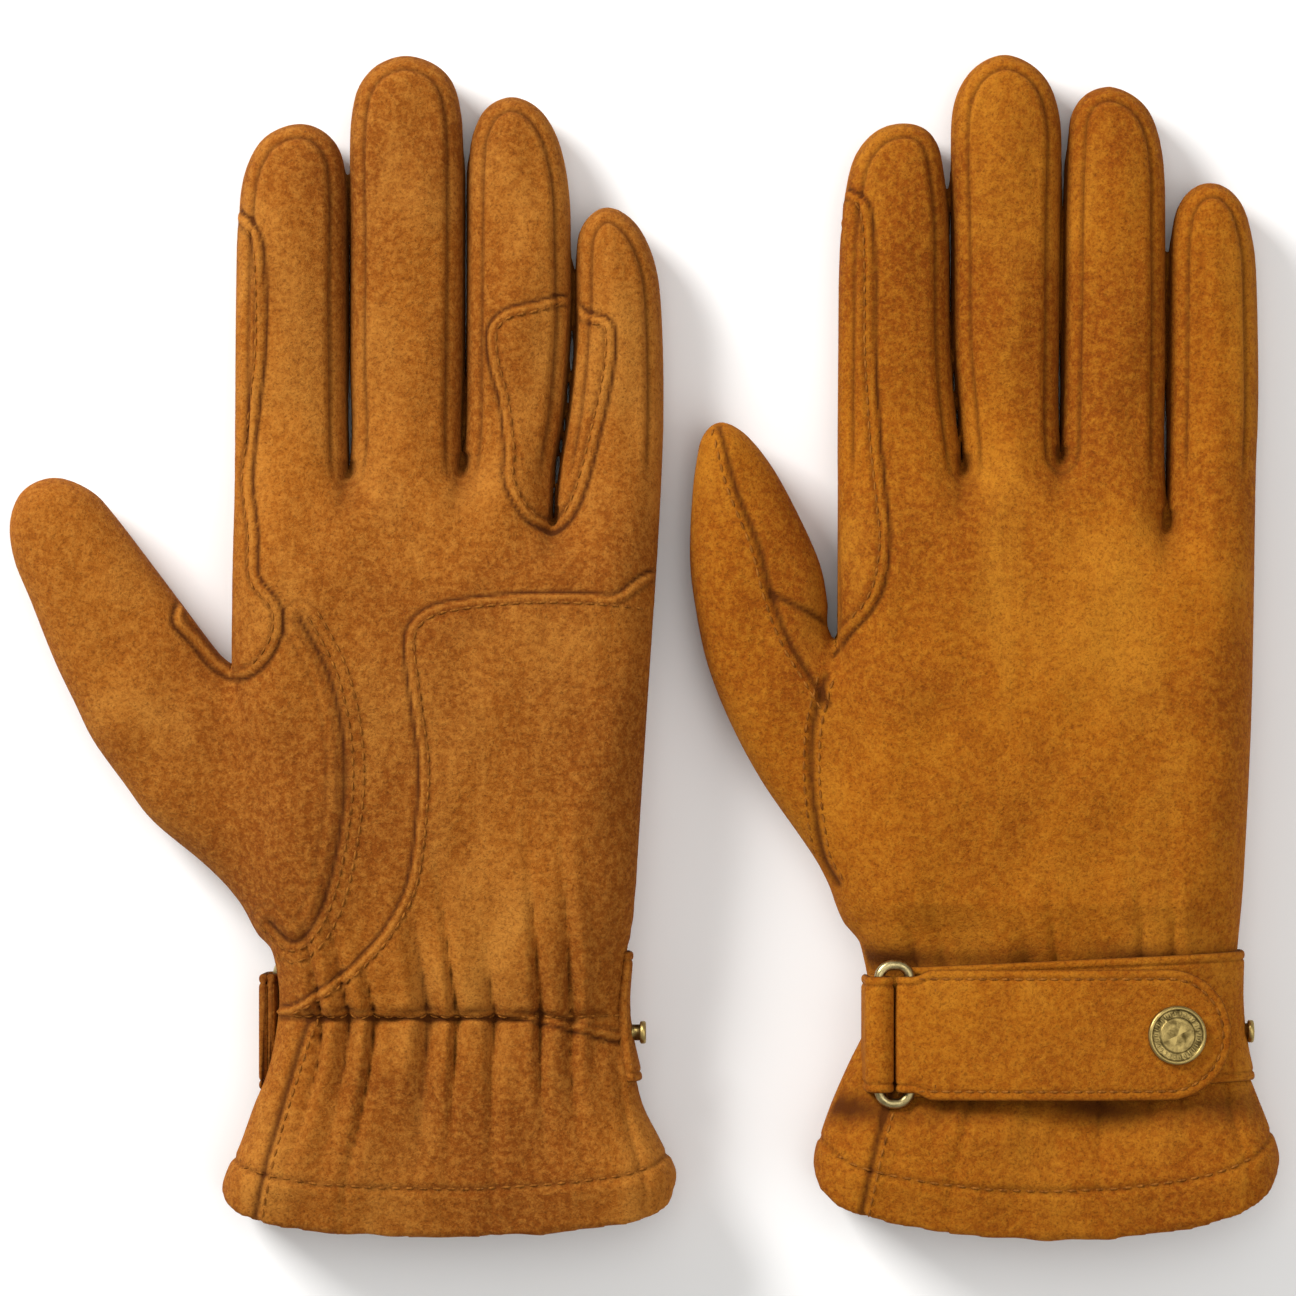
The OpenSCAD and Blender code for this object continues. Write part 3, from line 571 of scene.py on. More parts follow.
    # Soft creases all over, and a nearly plain inside
    soft = 0.4 * wave(x, y, (5, 6, 7), 23) + 0.2 * wave(x, y, (8, 9), 10)
    offset += soft * smoothstep(1, 8, np.maximum(depth, depth_thumb))
    offset[inner] = (0.15 * wave(x, y, (3, 4), 7) + 2.6 * groove(dy, 24))[inner]
    painted_shading_and_wear[inner] = 0
    moved = verts + normals * offset[:, None]
    moved[:, 2] = np.maximum(moved[:, 2], 0.0)
    labels = {"heel": heel[2], "side": side_palm[2] | side_back[2], "crotch": crotch[2]}
    return moved, labels, {"inner": inner, "on_thumb": on_thumb, "depth": depth, "painted_shading_and_wear": painted_shading_and_wear}


THUMB_HINGE = {"left": ((-110.7, 2.0), 119.5), "right": ((21.8, 11.35), 105.0)}
THUMB_ROOT = -12.0
SIDE_BAND = 2.9


def thumb_along(glove, xy):
    (x, y), angle = THUMB_HINGE[glove["name"]]
    a = math.radians(angle)
    return (xy[:, 0] - x) * math.cos(a) + (xy[:, 1] - y) * math.sin(a)


def region_of(glove, points, on_thumb):
    """The moving piece that each point is in: -1 the hand, 0 to 3 a finger, 4 the thumb's tip."""
    xy = points[:, :2]
    region = np.where(xy[:, 1] > BEND_START, finger_of(glove, xy), -1)
    return np.where(on_thumb, np.where(thumb_along(glove, xy) > THUMB_ROOT, 4, -1), region)


def attach(obj, glove, region):
    """Lets a piece ride on the hand; a finger's or the thumb's piece is left unattached, with its place baked
    into its mesh.
    """
    hand = f"{glove['name']}_hand"
    if region < 0:
        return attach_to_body(obj, hand)
    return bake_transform(obj)


def new_mesh(name, verts, faces, material, normals=None, painted_light_and_wear=None):
    mesh = bpy.data.meshes.new(name)
    faces = faces if isinstance(faces, list) else faces.tolist()
    mesh.from_pydata((np.asarray(verts) * MM).tolist(), [], faces)
    mesh.polygons.foreach_set("use_smooth", [True] * len(mesh.polygons))
    mesh.materials.append(material)
    if painted_light_and_wear is not None:
        # A float of painted shade and highlight, with pale worn edges, read by the suede's colour
        attribute = mesh.attributes.new("painted_light_and_wear", "FLOAT", "POINT")
        attribute.data.foreach_set("value", np.asarray(painted_light_and_wear, np.float32))
    if normals is not None:
        mesh.normals_split_custom_set_from_vertices(np.asarray(normals).tolist())
    obj = bpy.data.objects.new(name, mesh)
    bpy.context.scene.collection.objects.link(obj)
    return obj


def cut_out(name, chosen, verts, quads, normals, painted_light_and_wear, material):
    used, again = np.unique(quads[chosen], return_inverse=True)
    return new_mesh(name, verts[used], again.reshape(-1, 4), material, normals[used], painted_light_and_wear[used])


def build_skin(glove, mats):
    data = skin_field(glove)
    verts, quads = surface_nets(data["solid"], data["axes"])
    verts = relax(verts, quads, 6)
    normals = vertex_normals(verts, quads)
    verts, labels, facts = shape_skin(glove, verts, normals, data)
    normals = vertex_normals(verts, quads)
    # The colour marks, clipped: painted shade and highlight, with pale worn edges, for the suede
    painted_light_and_wear = np.clip(facts["painted_shading_and_wear"], -1.2, 1.2)
    # Each face's middle decides its panel
    middle = verts[quads].mean(axis=1)

    def most(flag):
        return flag[quads].sum(axis=1) >= 2

    region = region_of(glove, middle, most(facts["on_thumb"]))
    inner = most(facts["inner"])
    hem_gap = middle[:, 1] - profile(middle[:, 0], HEM[glove["name"]])
    mid_z = (profile(middle[:, 1], LOW[glove["palm_up"]]) + profile(middle[:, 1], HIGH[glove["palm_up"]])) / 2
    palm = (middle[:, 2] > mid_z) == glove["palm_up"]
    thumb = most(facts["on_thumb"])
    side = facts["depth"][quads].mean(axis=1) < SIDE_BAND
    label = np.full(len(quads), "", object)
    label[:] = np.where(palm, "palm_panel", "back_panel")
    label[most(labels["heel"])] = "heel_patch"
    label[most(labels["side"])] = "side_panel"
    label[thumb & (region < 0)] = "thumb_base"
    label[thumb & (region == 4)] = "thumb_tip"
    for k, finger in enumerate(FINGERS):
        here = (region == k) & ~thumb
        label[here] = np.where(palm[here], f"{finger}_palm", f"{finger}_back")
        label[here & (side | most(labels["crotch"]) | most(labels["side"]))] = f"{finger}_sides"
    label[inner] = "lining"
    label[inner & (hem_gap < HEM_BAND)] = "hem_band"
    label[inner & (np.abs(middle[:, 1] - ELASTIC_Y) < ELASTIC_HALF)] = "wrist_elastic"
    for name in sorted(set(label)):
        full = f"{glove['name']}_{name}"
        material = mats.get(name, mats["suede"])
        piece = cut_out(full + "_skin", label == name, verts, quads, normals, painted_light_and_wear, material)
        finger = [k for k, f in enumerate(FINGERS) if name.startswith(f)]
        attach(piece, glove, finger[0] if finger else 4 if name == "thumb_tip" else -1)
        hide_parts(full)
    tree = BVHTree.FromPolygons([Vector(v) for v in verts], quads.tolist())
    return {"tree": tree, "data": data}


# Stitches

def tube_faces(rows, count):
    """The faces of a tube whose rows of points each go once round it."""
    return [
        (i * count + j, i * count + (j + 1) % count, (i + 1) * count + (j + 1) % count, (i + 1) * count + j)
        for i in range(rows - 1) for j in range(count)
    ]


def stitch_shape():
    """One stitch of thread along +X: a bent, tapered tube that dips into its holes."""
    rows, sides = 5, 6
    verts = []
    for i in range(rows):
        t = i / (rows - 1) * 2 - 1
        r = 0.27 * (1 - 0.75 * t**4)
        for j in range(sides):
            a = 2 * math.pi * j / sides
            verts.append((t * 0.95, r * math.cos(a), 0.16 * (1 - t * t) - 0.05 + 0.8 * r * math.sin(a)))
    return np.array(verts), tube_faces(rows, sides)


STITCH_VERTS, STITCH_FACES = stitch_shape()


def stitch_faces(count):
    """The faces of that many stitches in one mesh."""
    n = len(STITCH_VERTS)
    return [tuple(i * n + f for f in face) for i in range(count) for face in STITCH_FACES]


def offset_path(path, distance, closed=False):
    p = smooth_loop(path, 1.0, closed)
    t = np.roll(p, -1, axis=0) - np.roll(p, 1, axis=0) if closed else np.gradient(p, axis=0)
    t = t / np.maximum(np.linalg.norm(t, axis=1), 1e-9)[:, None]
    return p + distance * np.stack([-t[:, 1], t[:, 0]], axis=1)


def place_along(path, pitch):
    """Middle places and directions at an even pitch along a polyline."""
    seg = np.linalg.norm(np.diff(path, axis=0), axis=1)
    run = np.concatenate([[0], np.cumsum(seg)])
    at = np.arange(pitch / 2, run[-1], pitch)
    xy = np.stack([np.interp(at, run, path[:, m]) for m in (0, 1)], axis=1)
    nxt = np.stack([np.interp(at + 0.3, run, path[:, m]) for m in (0, 1)], axis=1)
    way = nxt - xy
    keep = np.linalg.norm(way, axis=1) > 1e-6
    return xy[keep], way[keep] / np.linalg.norm(way[keep], axis=1)[:, None]


def sew(glove, skin, rows, mats):
    """Stitches on the skin. Each row: its path, 1 for the upper face or -1 for the lower, and its pitch."""
    groups = {}
    for path, face, pitch in rows:
        xy, way = place_along(np.asarray(path), pitch)
        for (x, y), (dx, dy) in zip(xy, way):
            hit, normal, _, _ = skin["tree"].ray_cast(Vector((x, y, 50 * face)), Vector((0, 0, -face)))
            if hit is None or abs(normal.z) < 0.25:
                continue
            n = normal if normal.z * face > 0 else -normal
            along = Vector((dx, dy, 0))
            along = (along - n * along.dot(n)).normalized()
            side = n.cross(along)
            turn = np.array([along, side, n]).T
            thumb = sample3(skin["data"]["which"], skin["data"]["axes"], np.array([hit]))[0] < ON_THUMB
            region = int(region_of(glove, np.array([hit]), np.array([thumb]))[0])
            groups.setdefault(region, []).append(STITCH_VERTS @ turn.T + np.array(hit + n * 0.05))
    for region, stitches in sorted(groups.items()):
        label = "hand" if region < 0 else (FINGERS + ("thumb",))[region]
        full = f"{glove['name']}_{label}_stitches"
        obj = new_mesh(full, np.concatenate(stitches), stitch_faces(len(stitches)), mats["thread"])
        attach(obj, glove, region)


def runs(path, keep):
    """The stretches of a path where keep holds."""
    out, start = [], None
    for i, good in enumerate(list(keep) + [False]):
        if good and start is None:
            start = i
        if not good and start is not None:
            if i - start > 3:
                out.append(path[start:i])
            start = None
    return out


def seam_rows(glove, data):
    """Every row of stitches on one glove."""
    palm = 1 if glove["palm_up"] else -1
    back = -palm
    rows = []

    def add(path, home, face, distances, pitch=2.6, closed=False, test=None):
        for d in distances:
            line = offset_path(shifted(path, glove, home), d, closed)
            depth = sample(data["depth"], data["axes"], line)
            keep = np.ones(len(line), bool) if test is None else test(line, depth)
            rows.extend((part, face, pitch) for part in runs(line, keep))

    add(HEEL_EDGE, "left", palm, (1.6,), test=lambda line, depth: depth > 1.5)
    add(SIDE_EDGE_PALM, "left", palm, (-1.6,), test=lambda line, depth: (depth > 1.2) & (line[:, 1] > -4))
    add(CROTCH_PATCH, "left", palm, (-1.5,), closed=True, test=lambda line, depth: depth > 2.2)
    add(THUMB_ARC, "left", palm, (1.7, 4.0))
    add(SIDE_EDGE_BACK, "right", back, (-1.6,), test=lambda line, depth: depth > 1.2)
    add(THUMB_BACK, "right", back, (-1.7,))
    add(THUMB_DOUBLE, "right", back, (-1.5, 1.7))
    xs = np.arange(-75, -4, 1.0) + (0 if glove["palm_up"] else PAIR_SHIFT)
    rows.append((np.stack([xs, np.full(len(xs), ELASTIC_Y)], axis=1), palm, 2.4))
    for face in (1, -1):
        add(CUFF_SEAM, "left", face, (1.6,))
        x0, x1 = HEM[glove["name"]][2][0] + 3, HEM[glove["name"]][-3][0] - 3
        xs = np.arange(x0, x1, 1.0)
        rows.append((np.stack([xs, profile(xs, HEM[glove["name"]]) + HEM_STITCH], axis=1), face, 2.9))
    return rows


# The strap has its own frame: the glove's back up, X from the glove's middle and Y from the strap's.
GLOVE_X = {"left": -42.8, "right": 84.7}
STRAP_Y = -81.25
HAND_T = 29.0
WRIST_W, WRIST_T, WRIST_MID = 78.0, 20.0, 12.5
WIRE_R, FOLD_R, STRAP_T = 1.1, 1.45, 1.6
TAB_BAR_X, LOOP_BAR_X, BAR_Z = -29.6, -36.05, 23.77
TAB_R, TAB_TILT, TAB_LEN, TAB_HALF, FOLD_HALF = 190.0, math.radians(8.185), 68.0, 13.75, 12.25
SNAP_S, SOCKET_T = 56.0, 1.8
TAB_FOLD = math.radians(60)
LOOP_ROOT = (-38.0, 14.6)
# A strip's section: how far in from its edge, and how high there as a share of its thickness. The dip at 1.95
# is where the stitches pull it in.
EDGE_INSETS = (0, 0.12, 0.4, 0.8, 1.3, 1.65, 1.95, 2.25, 2.6, 3.4)
EDGE_HEIGHTS = (0.5, 0.76, 0.93, 1.0, 1.0, 0.93, 0.8, 0.93, 1.0, 1.02)


def to_glove(name, points):
    """From the strap's frame to the row frame."""
    p = np.array(points, float)
    z = p[:, 2] if name == "right" else HAND_T - p[:, 2]
    return np.stack([p[:, 0] + GLOVE_X[name], p[:, 1] + STRAP_Y, np.maximum(z, 0.0)], axis=1)


def strap_piece(name, node, kind, points, faces, material, body, painted_light_and_wear=None):
    """One piece of the strap, from points in the strap's frame. All but the stitches show a CAD node."""
    turned = [tuple(reversed(f)) if name == "left" else tuple(f) for f in faces]
    obj = new_mesh(f"{name}_{node}_{kind}", to_glove(name, points), turned, material, painted_light_and_wear=painted_light_and_wear)
    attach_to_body(obj, f"{name}_{body}")
    if kind != "stitches":
        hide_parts(f"{name}_{node}")


def tab_point(s, h):
    """A place on the free end: s along it from the bar, below zero round the bar, h above its inner face."""
    s, h = np.broadcast_arrays(np.asarray(s, float), np.asarray(h, float))
    around = np.maximum(-s, 0) / (FOLD_R + STRAP_T / 2)
    theta = np.maximum(s, 0) / TAB_R
    x = np.where(s < 0, -(FOLD_R + h) * np.sin(around), (TAB_R + h) * np.sin(theta))
    z = np.where(s < 0, (FOLD_R + h) * np.cos(around), FOLD_R - TAB_R + (TAB_R + h) * np.cos(theta))
    c, t = math.cos(TAB_TILT), math.sin(TAB_TILT)
    return TAB_BAR_X + x * c - z * t, BAR_Z + x * t + z * c


def make_tab(name, material):
    """The free end: a leather strip, stitched all round, with a round end, that folds round the ring."""
    start = -(FOLD_R + STRAP_T / 2) * (TAB_FOLD + math.pi / 2)
    straight = np.concatenate([np.linspace(start, 0, 22), np.linspace(0, TAB_LEN - TAB_HALF, 50)[1:]])
    turn = np.linspace(-math.pi / 2, math.pi / 2, 41)[1:-1]
    insets = list(EDGE_INSETS) + [5.5, 8, 10.5, 12.6, 13.6]
    heights = list(EDGE_HEIGHTS) + [1.03, 1.05, 1.06, 1.06, 1.06]
    rings = []
    for d in insets:
        r = TAB_HALF - d
        s = np.concatenate([straight, TAB_LEN - TAB_HALF + r * np.cos(turn), straight[::-1]])
        y = np.concatenate([np.full(len(straight), -r), r * np.sin(turn), np.full(len(straight), r)])
        y = y * (FOLD_HALF + (TAB_HALF - FOLD_HALF) * smoothstep(1.0, 5.0, s)) / TAB_HALF
        rings.append((s, y))
    count = len(rings[0][0])
    points = []
    for side in (1, -1):
        for (s, y), height in zip(rings, heights):
            wear = 0.06 * wave(s, y, (2, 3, 5), 13)
            h = STRAP_T * (0.5 + side * (height - 0.5)) + (wear if side > 0 else 0)
            x, z = tab_point(s, h)
            points.append(np.stack([x, y, z], axis=1))
    points = np.concatenate(points)
    faces = []
    k = len(rings)
    for side in (0, 1):
        for i in range(k - 1):
            for j in range(count - 1):
                a = (side * k + i) * count + j
                quad = (a, a + 1, a + 1 + count, a + count)
                faces.append(quad if side == 0 else quad[::-1])
        for j in range(count // 2):
            a = (side * k + k - 1) * count + j
            b = (side * k + k - 1) * count + count - 1 - j
            quad = (a, a + 1, b - 1, b)
            if len(set(quad)) == 4:
                faces.append(quad if side == 0 else quad[::-1])
    for end in (0, count - 1):
        for i in range(k - 1):
            a, b = i * count + end, (i + 1) * count + end
            quad = (a, b, k * count + b, k * count + a)
            faces.append(quad if end == 0 else quad[::-1])
    # Painted shade on the strip's rounded edges and in the stitch dip, and a faint painted highlight on its
    # crown
    painted_light_and_wear = np.concatenate([np.full(count, (h - 1) * 1.6) for h in heights] * 2)
    strap_piece(name, "strap_tab", "leather", points, faces, material, "tab", painted_light_and_wear)


def sweep_strip(line, half):
    """A leather strip along a line of (x, z) places: its points and faces, with rounded, stitched edges."""
    line = np.asarray(line, float)
    way = np.gradient(line, axis=0)
    way /= np.maximum(np.linalg.norm(way, axis=1), 1e-9)[:, None]
    up = np.stack([-way[:, 1], way[:, 0]], axis=1)
    section = []
    for side in (1, -1):
        half_row = [(half - d, h) for d, h in zip(EDGE_INSETS, EDGE_HEIGHTS)]
        row = [(-w, h) for w, h in half_row] + [(w, h) for w, h in reversed(half_row)]
        row = row if side > 0 else row[::-1]
        section += [(w, side * (h - 0.5) * STRAP_T) for w, h in row]
    count = len(section)
    points = [(x + ux * h, w, z + uz * h) for (x, z), (ux, uz) in zip(line, up) for w, h in section]
    faces = tube_faces(len(line), count)
    faces += [tuple(range(count))[::-1], tuple((len(line) - 1) * count + j for j in range(count))]
    # Painted shade on the strip's rounded edges and in the stitch dip
    painted_light_and_wear = [min(0.0, (abs(h) / STRAP_T + 0.5 - 1) * 1.6) for _ in line for _, h in section]
    return points, faces, painted_light_and_wear


def make_loop(name, material):
    """The short loop that holds the ring's inner bar. Both legs are sewn to the thumb's side of the wrist."""
    bar = np.array([LOOP_BAR_X, BAR_Z])
    root = np.array(LOOP_ROOT)
    leg = root - bar
    middle = FOLD_R + STRAP_T / 2
    angle = math.atan2(leg[1], leg[0]) + 2 * math.pi
    touch = math.acos(middle / np.linalg.norm(leg))
    arc = np.linspace(angle + touch, angle + 2 * math.pi - touch, 26)
    fold = bar + middle * np.stack([np.cos(arc), np.sin(arc)], axis=1)
    apart = np.array([0.75, 0])
    run = np.linspace(0, 1, 10)[:, None]
    first = root + apart + (fold[0] - root - apart) * run[:-1]
    last = fold[-1] + (root - apart - fold[-1]) * run[1:]
    points, faces, painted_light_and_wear = sweep_strip(np.concatenate([first, fold, last]), FOLD_HALF)
    strap_piece(name, "ring_loop", "leather", points, faces, material, "hand", painted_light_and_wear)


def squircle(c):
    return np.sign(c) * np.abs(c) ** 0.78


def make_base(name, skin, material):
    """The strap that is sewn across the back of the wrist, laid on the skin as it is."""
    angle = np.radians(np.linspace(134, -14, 90))
    x = WRIST_W / 2 * squircle(np.cos(angle))
    z = WRIST_MID + WRIST_T / 2 * squircle(np.sin(angle))
    dx, dz = np.gradient(x), np.gradient(z)
    size = np.maximum(np.hypot(dx, dz), 1e-9)
    nx, nz = -dz / size, dx / size
    ys = np.linspace(-TAB_HALF, TAB_HALF, 25)
    rise_y = 0.4 + 3.2 * (x + 27) / 68
    reach = np.zeros((len(angle), len(ys)))
    for i in range(len(angle)):
        for j, y in enumerate(ys):
            start = to_glove(name, [(x[i] + 14 * nx[i], y + rise_y[i], z[i] + 14 * nz[i])])[0]
            way = Vector((-nx[i], 0, -nz[i] if name == "right" else nz[i]))
            hit, _, _, far = skin["tree"].ray_cast(Vector(start), way, 26)
            reach[i, j] = 14 - far if hit is not None else 0
    for _ in range(6):
        padded = np.pad(reach, 2, mode="edge")
        blocks = [padded[a: a + reach.shape[0], b: b + reach.shape[1]] for a in range(5) for b in range(5)]
        reach = 0.5 * (sum(blocks) / 25) + 0.5 * np.maximum(reach, sum(blocks) / 25)
    edge = [TAB_HALF - d for d in EDGE_INSETS]
    edge_y = [-y for y in edge] + [-8, -4, 0, 4, 8] + edge[::-1]
    height = list(EDGE_HEIGHTS) + [1.03] * 5 + list(reversed(EDGE_HEIGHTS))
    points, painted_light_and_wear = [], []
    for side in (1, -1):
        for i in range(len(angle)):
            r = np.interp(edge_y, ys, reach[i])
            for y, rise, h in zip(edge_y, r, height):
                out = rise + (STRAP_T * h + 0.1 if side > 0 else STRAP_T * (1 - h) - 0.5)
                points.append((x[i] + nx[i] * out, y + rise_y[i], z[i] + nz[i] * out))
                # Painted shade on the strip's rounded edges and in the stitch dip
                painted_light_and_wear.append((h - 1) * 1.6)
    m, n = len(edge_y), len(angle)
    faces = []
    for i in range(n - 1):
        for j in range(m - 1):
            a = i * m + j
            b = a + n * m
            faces.append((a, a + m, a + m + 1, a + 1))
            faces.append((b, b + 1, b + m + 1, b + m))
    for i in range(n - 1):
        for j in (0, m - 1):
            a = i * m + j
            quad = (a, a + n * m, a + n * m + m, a + m)
            faces.append(quad if j == 0 else quad[::-1])
    for i in (0, n - 1):
        for j in range(m - 1):
            a = i * m + j
            quad = (a, a + 1, a + n * m + 1, a + n * m)
            faces.append(quad if i == 0 else quad[::-1])
    strap_piece(name, "strap_base", "leather", points, faces, material, "hand", painted_light_and_wear)


def lathe(profile_points, sides=72, ripple=None):
    """Points and faces of a profile of (radius, height) turned about +Z. ripple adds height to it."""
    points, faces = [], []
    n = len(profile_points)
    for j in range(sides):
        a = 2 * math.pi * j / sides
        for r, h in profile_points:
            extra = ripple(r, a) if ripple else 0
            points.append((r * math.cos(a), r * math.sin(a), h + extra))
    for j in range(sides):
        k = (j + 1) % sides
        for i in range(n - 1):
            faces.append((j * n + i, k * n + i, k * n + i + 1, j * n + i + 1))
    return np.array(points), faces


def tab_frame(s, h):
    """A place on the free end's middle line, with the directions along the strap and up from it."""
    x0, z0 = tab_point(s, h)
    x1, z1 = tab_point(s, h + 1)
    up = np.array([float(x1 - x0), 0, float(z1 - z0)])
    return np.array([float(x0), 0, float(z0)]), np.array([up[2], 0, -up[0]]), up


def on_tab(points, s):
    """Moves points from a frame that stands on the free end at s to the strap's frame."""
    place, along, up = tab_frame(s, 0.0)
    return points @ np.array([along, [0, 1, 0], up]) + place


# Profiles of the snap's pieces, as (radius, height)
CAP = [
    (6.2, 0.02), (6.25, 0.25), (6.25, 0.8), (6.12, 1.1), (5.9, 1.26), (5.65, 1.3), (5.45, 1.24), (5.35, 1.0),
    (5.25, 0.86), (5.0, 0.84), (4.8, 0.84), (4.6, 0.84), (4.4, 0.84), (4.2, 0.84), (4.0, 0.84), (3.8, 0.88),
    (3.68, 1.02), (3.5, 1.1), (3.3, 1.12), (2.4, 1.12), (1.2, 1.12), (0.02, 1.12),
]
CAP_BEADS = 26


def cap_ripple(r, a):
    band = max(0.0, 1 - ((r - 4.6) / 0.6) ** 2)
    return 0.2 * band * max(0.0, math.cos(CAP_BEADS * a)) ** 1.2


STUD = [
    (1.7, -1.7), (1.7, -0.05), (2.1, 0.0), (2.38, 0.2), (2.4, 0.95), (2.25, 1.2), (1.9, 1.3), (1.3, 1.22),
    (0.9, 1.05), (0.02, 1.0),
]
SOCKET = [
    (0.02, 1.45), (2.5, 1.45), (2.7, 1.3), (2.75, 0.2), (2.9, 0.02), (3.3, 0.0), (3.7, 0.12), (3.95, 0.45),
    (3.95, 1.75),
]
STUD_GAP = 0.35
SIDE_STUD_OUT = {"left": 0.5, "right": 1.8}


def make_hardware(name, mats):
    """The snap's cap and socket on the free end, and the studs that it presses onto."""
    points, faces = lathe(CAP, 180, cap_ripple)
    cap = on_tab(points + [0, 0, STRAP_T], SNAP_S)
    strap_piece(name, "snap_cap", "metal", cap, faces, mats["brass"], "tab")
    points, faces = lathe(SOCKET)
    socket = on_tab(points - [0, 0, SOCKET_T], SNAP_S)
    strap_piece(name, "snap_socket", "metal", socket, faces, mats["steel"], "tab")
    points, faces = lathe(STUD)
    under = on_tab(points - [0, 0, SOCKET_T + STUD_GAP], SNAP_S)
    side_x = points[:, 2] + WRIST_W / 2 + STRAP_T + SIDE_STUD_OUT[name]
    side = np.stack([side_x, points[:, 1], WRIST_MID - points[:, 0]], axis=1)
    both = np.concatenate([under, side])
    faces = faces + [tuple(i + len(points) for i in f) for f in faces]
    strap_piece(name, "strap_studs", "metal", both, faces, mats["brass"], "hand")


def make_ring(name, material):
    """The oval wire ring."""
    half_x, half_y, corner = 3.225, 14.6, 2.9
    path = []
    for cx, cy, start in ((1, 1, 0), (-1, 1, 90), (-1, -1, 180), (1, -1, 270)):
        for a in np.radians(np.linspace(start, start + 90, 12)):
            x = cx * (half_x - corner) + corner * math.cos(a)
            path.append((x, cy * (half_y - corner) + corner * math.sin(a)))
    path = np.array(path)
    way = np.roll(path, -1, axis=0) - np.roll(path, 1, axis=0)
    way /= np.linalg.norm(way, axis=1)[:, None]
    out = np.stack([way[:, 1], -way[:, 0]], axis=1)
    sides, n = 20, len(path)
    points, faces = [], []
    middle = (TAB_BAR_X + LOOP_BAR_X) / 2
    for i in range(n):
        for j in range(sides):
            a = 2 * math.pi * j / sides
            x, y = path[i] + out[i] * WIRE_R * math.cos(a)
            points.append((middle + x, y, BAR_Z + WIRE_R * math.sin(a)))
    for i in range(n):
        for j in range(sides):
            k = (i + 1) % n
            m = (j + 1) % sides
            faces.append((i * sides + j, k * sides + j, k * sides + m, i * sides + m))
    strap_piece(name, "strap_ring", "wire", points, faces, material, "ring")


TAB_ROW_INSET = 1.95
CROSS_ROW_S = 5.6
TAB_PITCH = 2.5
STITCH_LEVEL = 0.86


def strap_stitches(name, material):
    """Stitches all round the free end's edge, and its cross row near the ring."""
    stitches = []
    r = TAB_HALF - TAB_ROW_INSET
    round_end = np.linspace(-1.57, 1.57, 60)
    straight = np.arange(1.5, TAB_LEN - TAB_HALF, 0.5)
    s = np.concatenate([straight, TAB_LEN - TAB_HALF + r * np.cos(round_end)])
    y = np.concatenate([np.full(len(straight), -r), r * np.sin(round_end)])
    edge = np.stack([s, y], axis=1)
    back = edge[: len(straight)][::-1] * [1, -1]
    cross = np.stack([np.full(40, CROSS_ROW_S), np.linspace(-r, r, 40)], axis=1)
    for path in (np.concatenate([edge, back]), cross):
        at, way = place_along(path, TAB_PITCH)
        for (a, b), (da, db) in zip(at, way):
            place, ahead, up = tab_frame(a, STRAP_T * STITCH_LEVEL)
            along = da * ahead + db * np.array([0, 1, 0])
            turn = np.array([along, np.cross(up, along), up])
            stitches.append(STITCH_VERTS @ turn + place + [0, b, 0])
    points = np.concatenate(stitches)
    faces = stitch_faces(len(stitches))
    strap_piece(name, "strap_tab", "stitches", points, faces, material, "tab")


# Materials

def linear(r, g, b):
    """Linear colour from 8-bit screen values."""
    parts = [v / 255 for v in (r, g, b)]
    return tuple(v / 12.92 if v <= 0.04045 else ((v + 0.055) / 1.055) ** 2.4 for v in parts) + (1.0,)


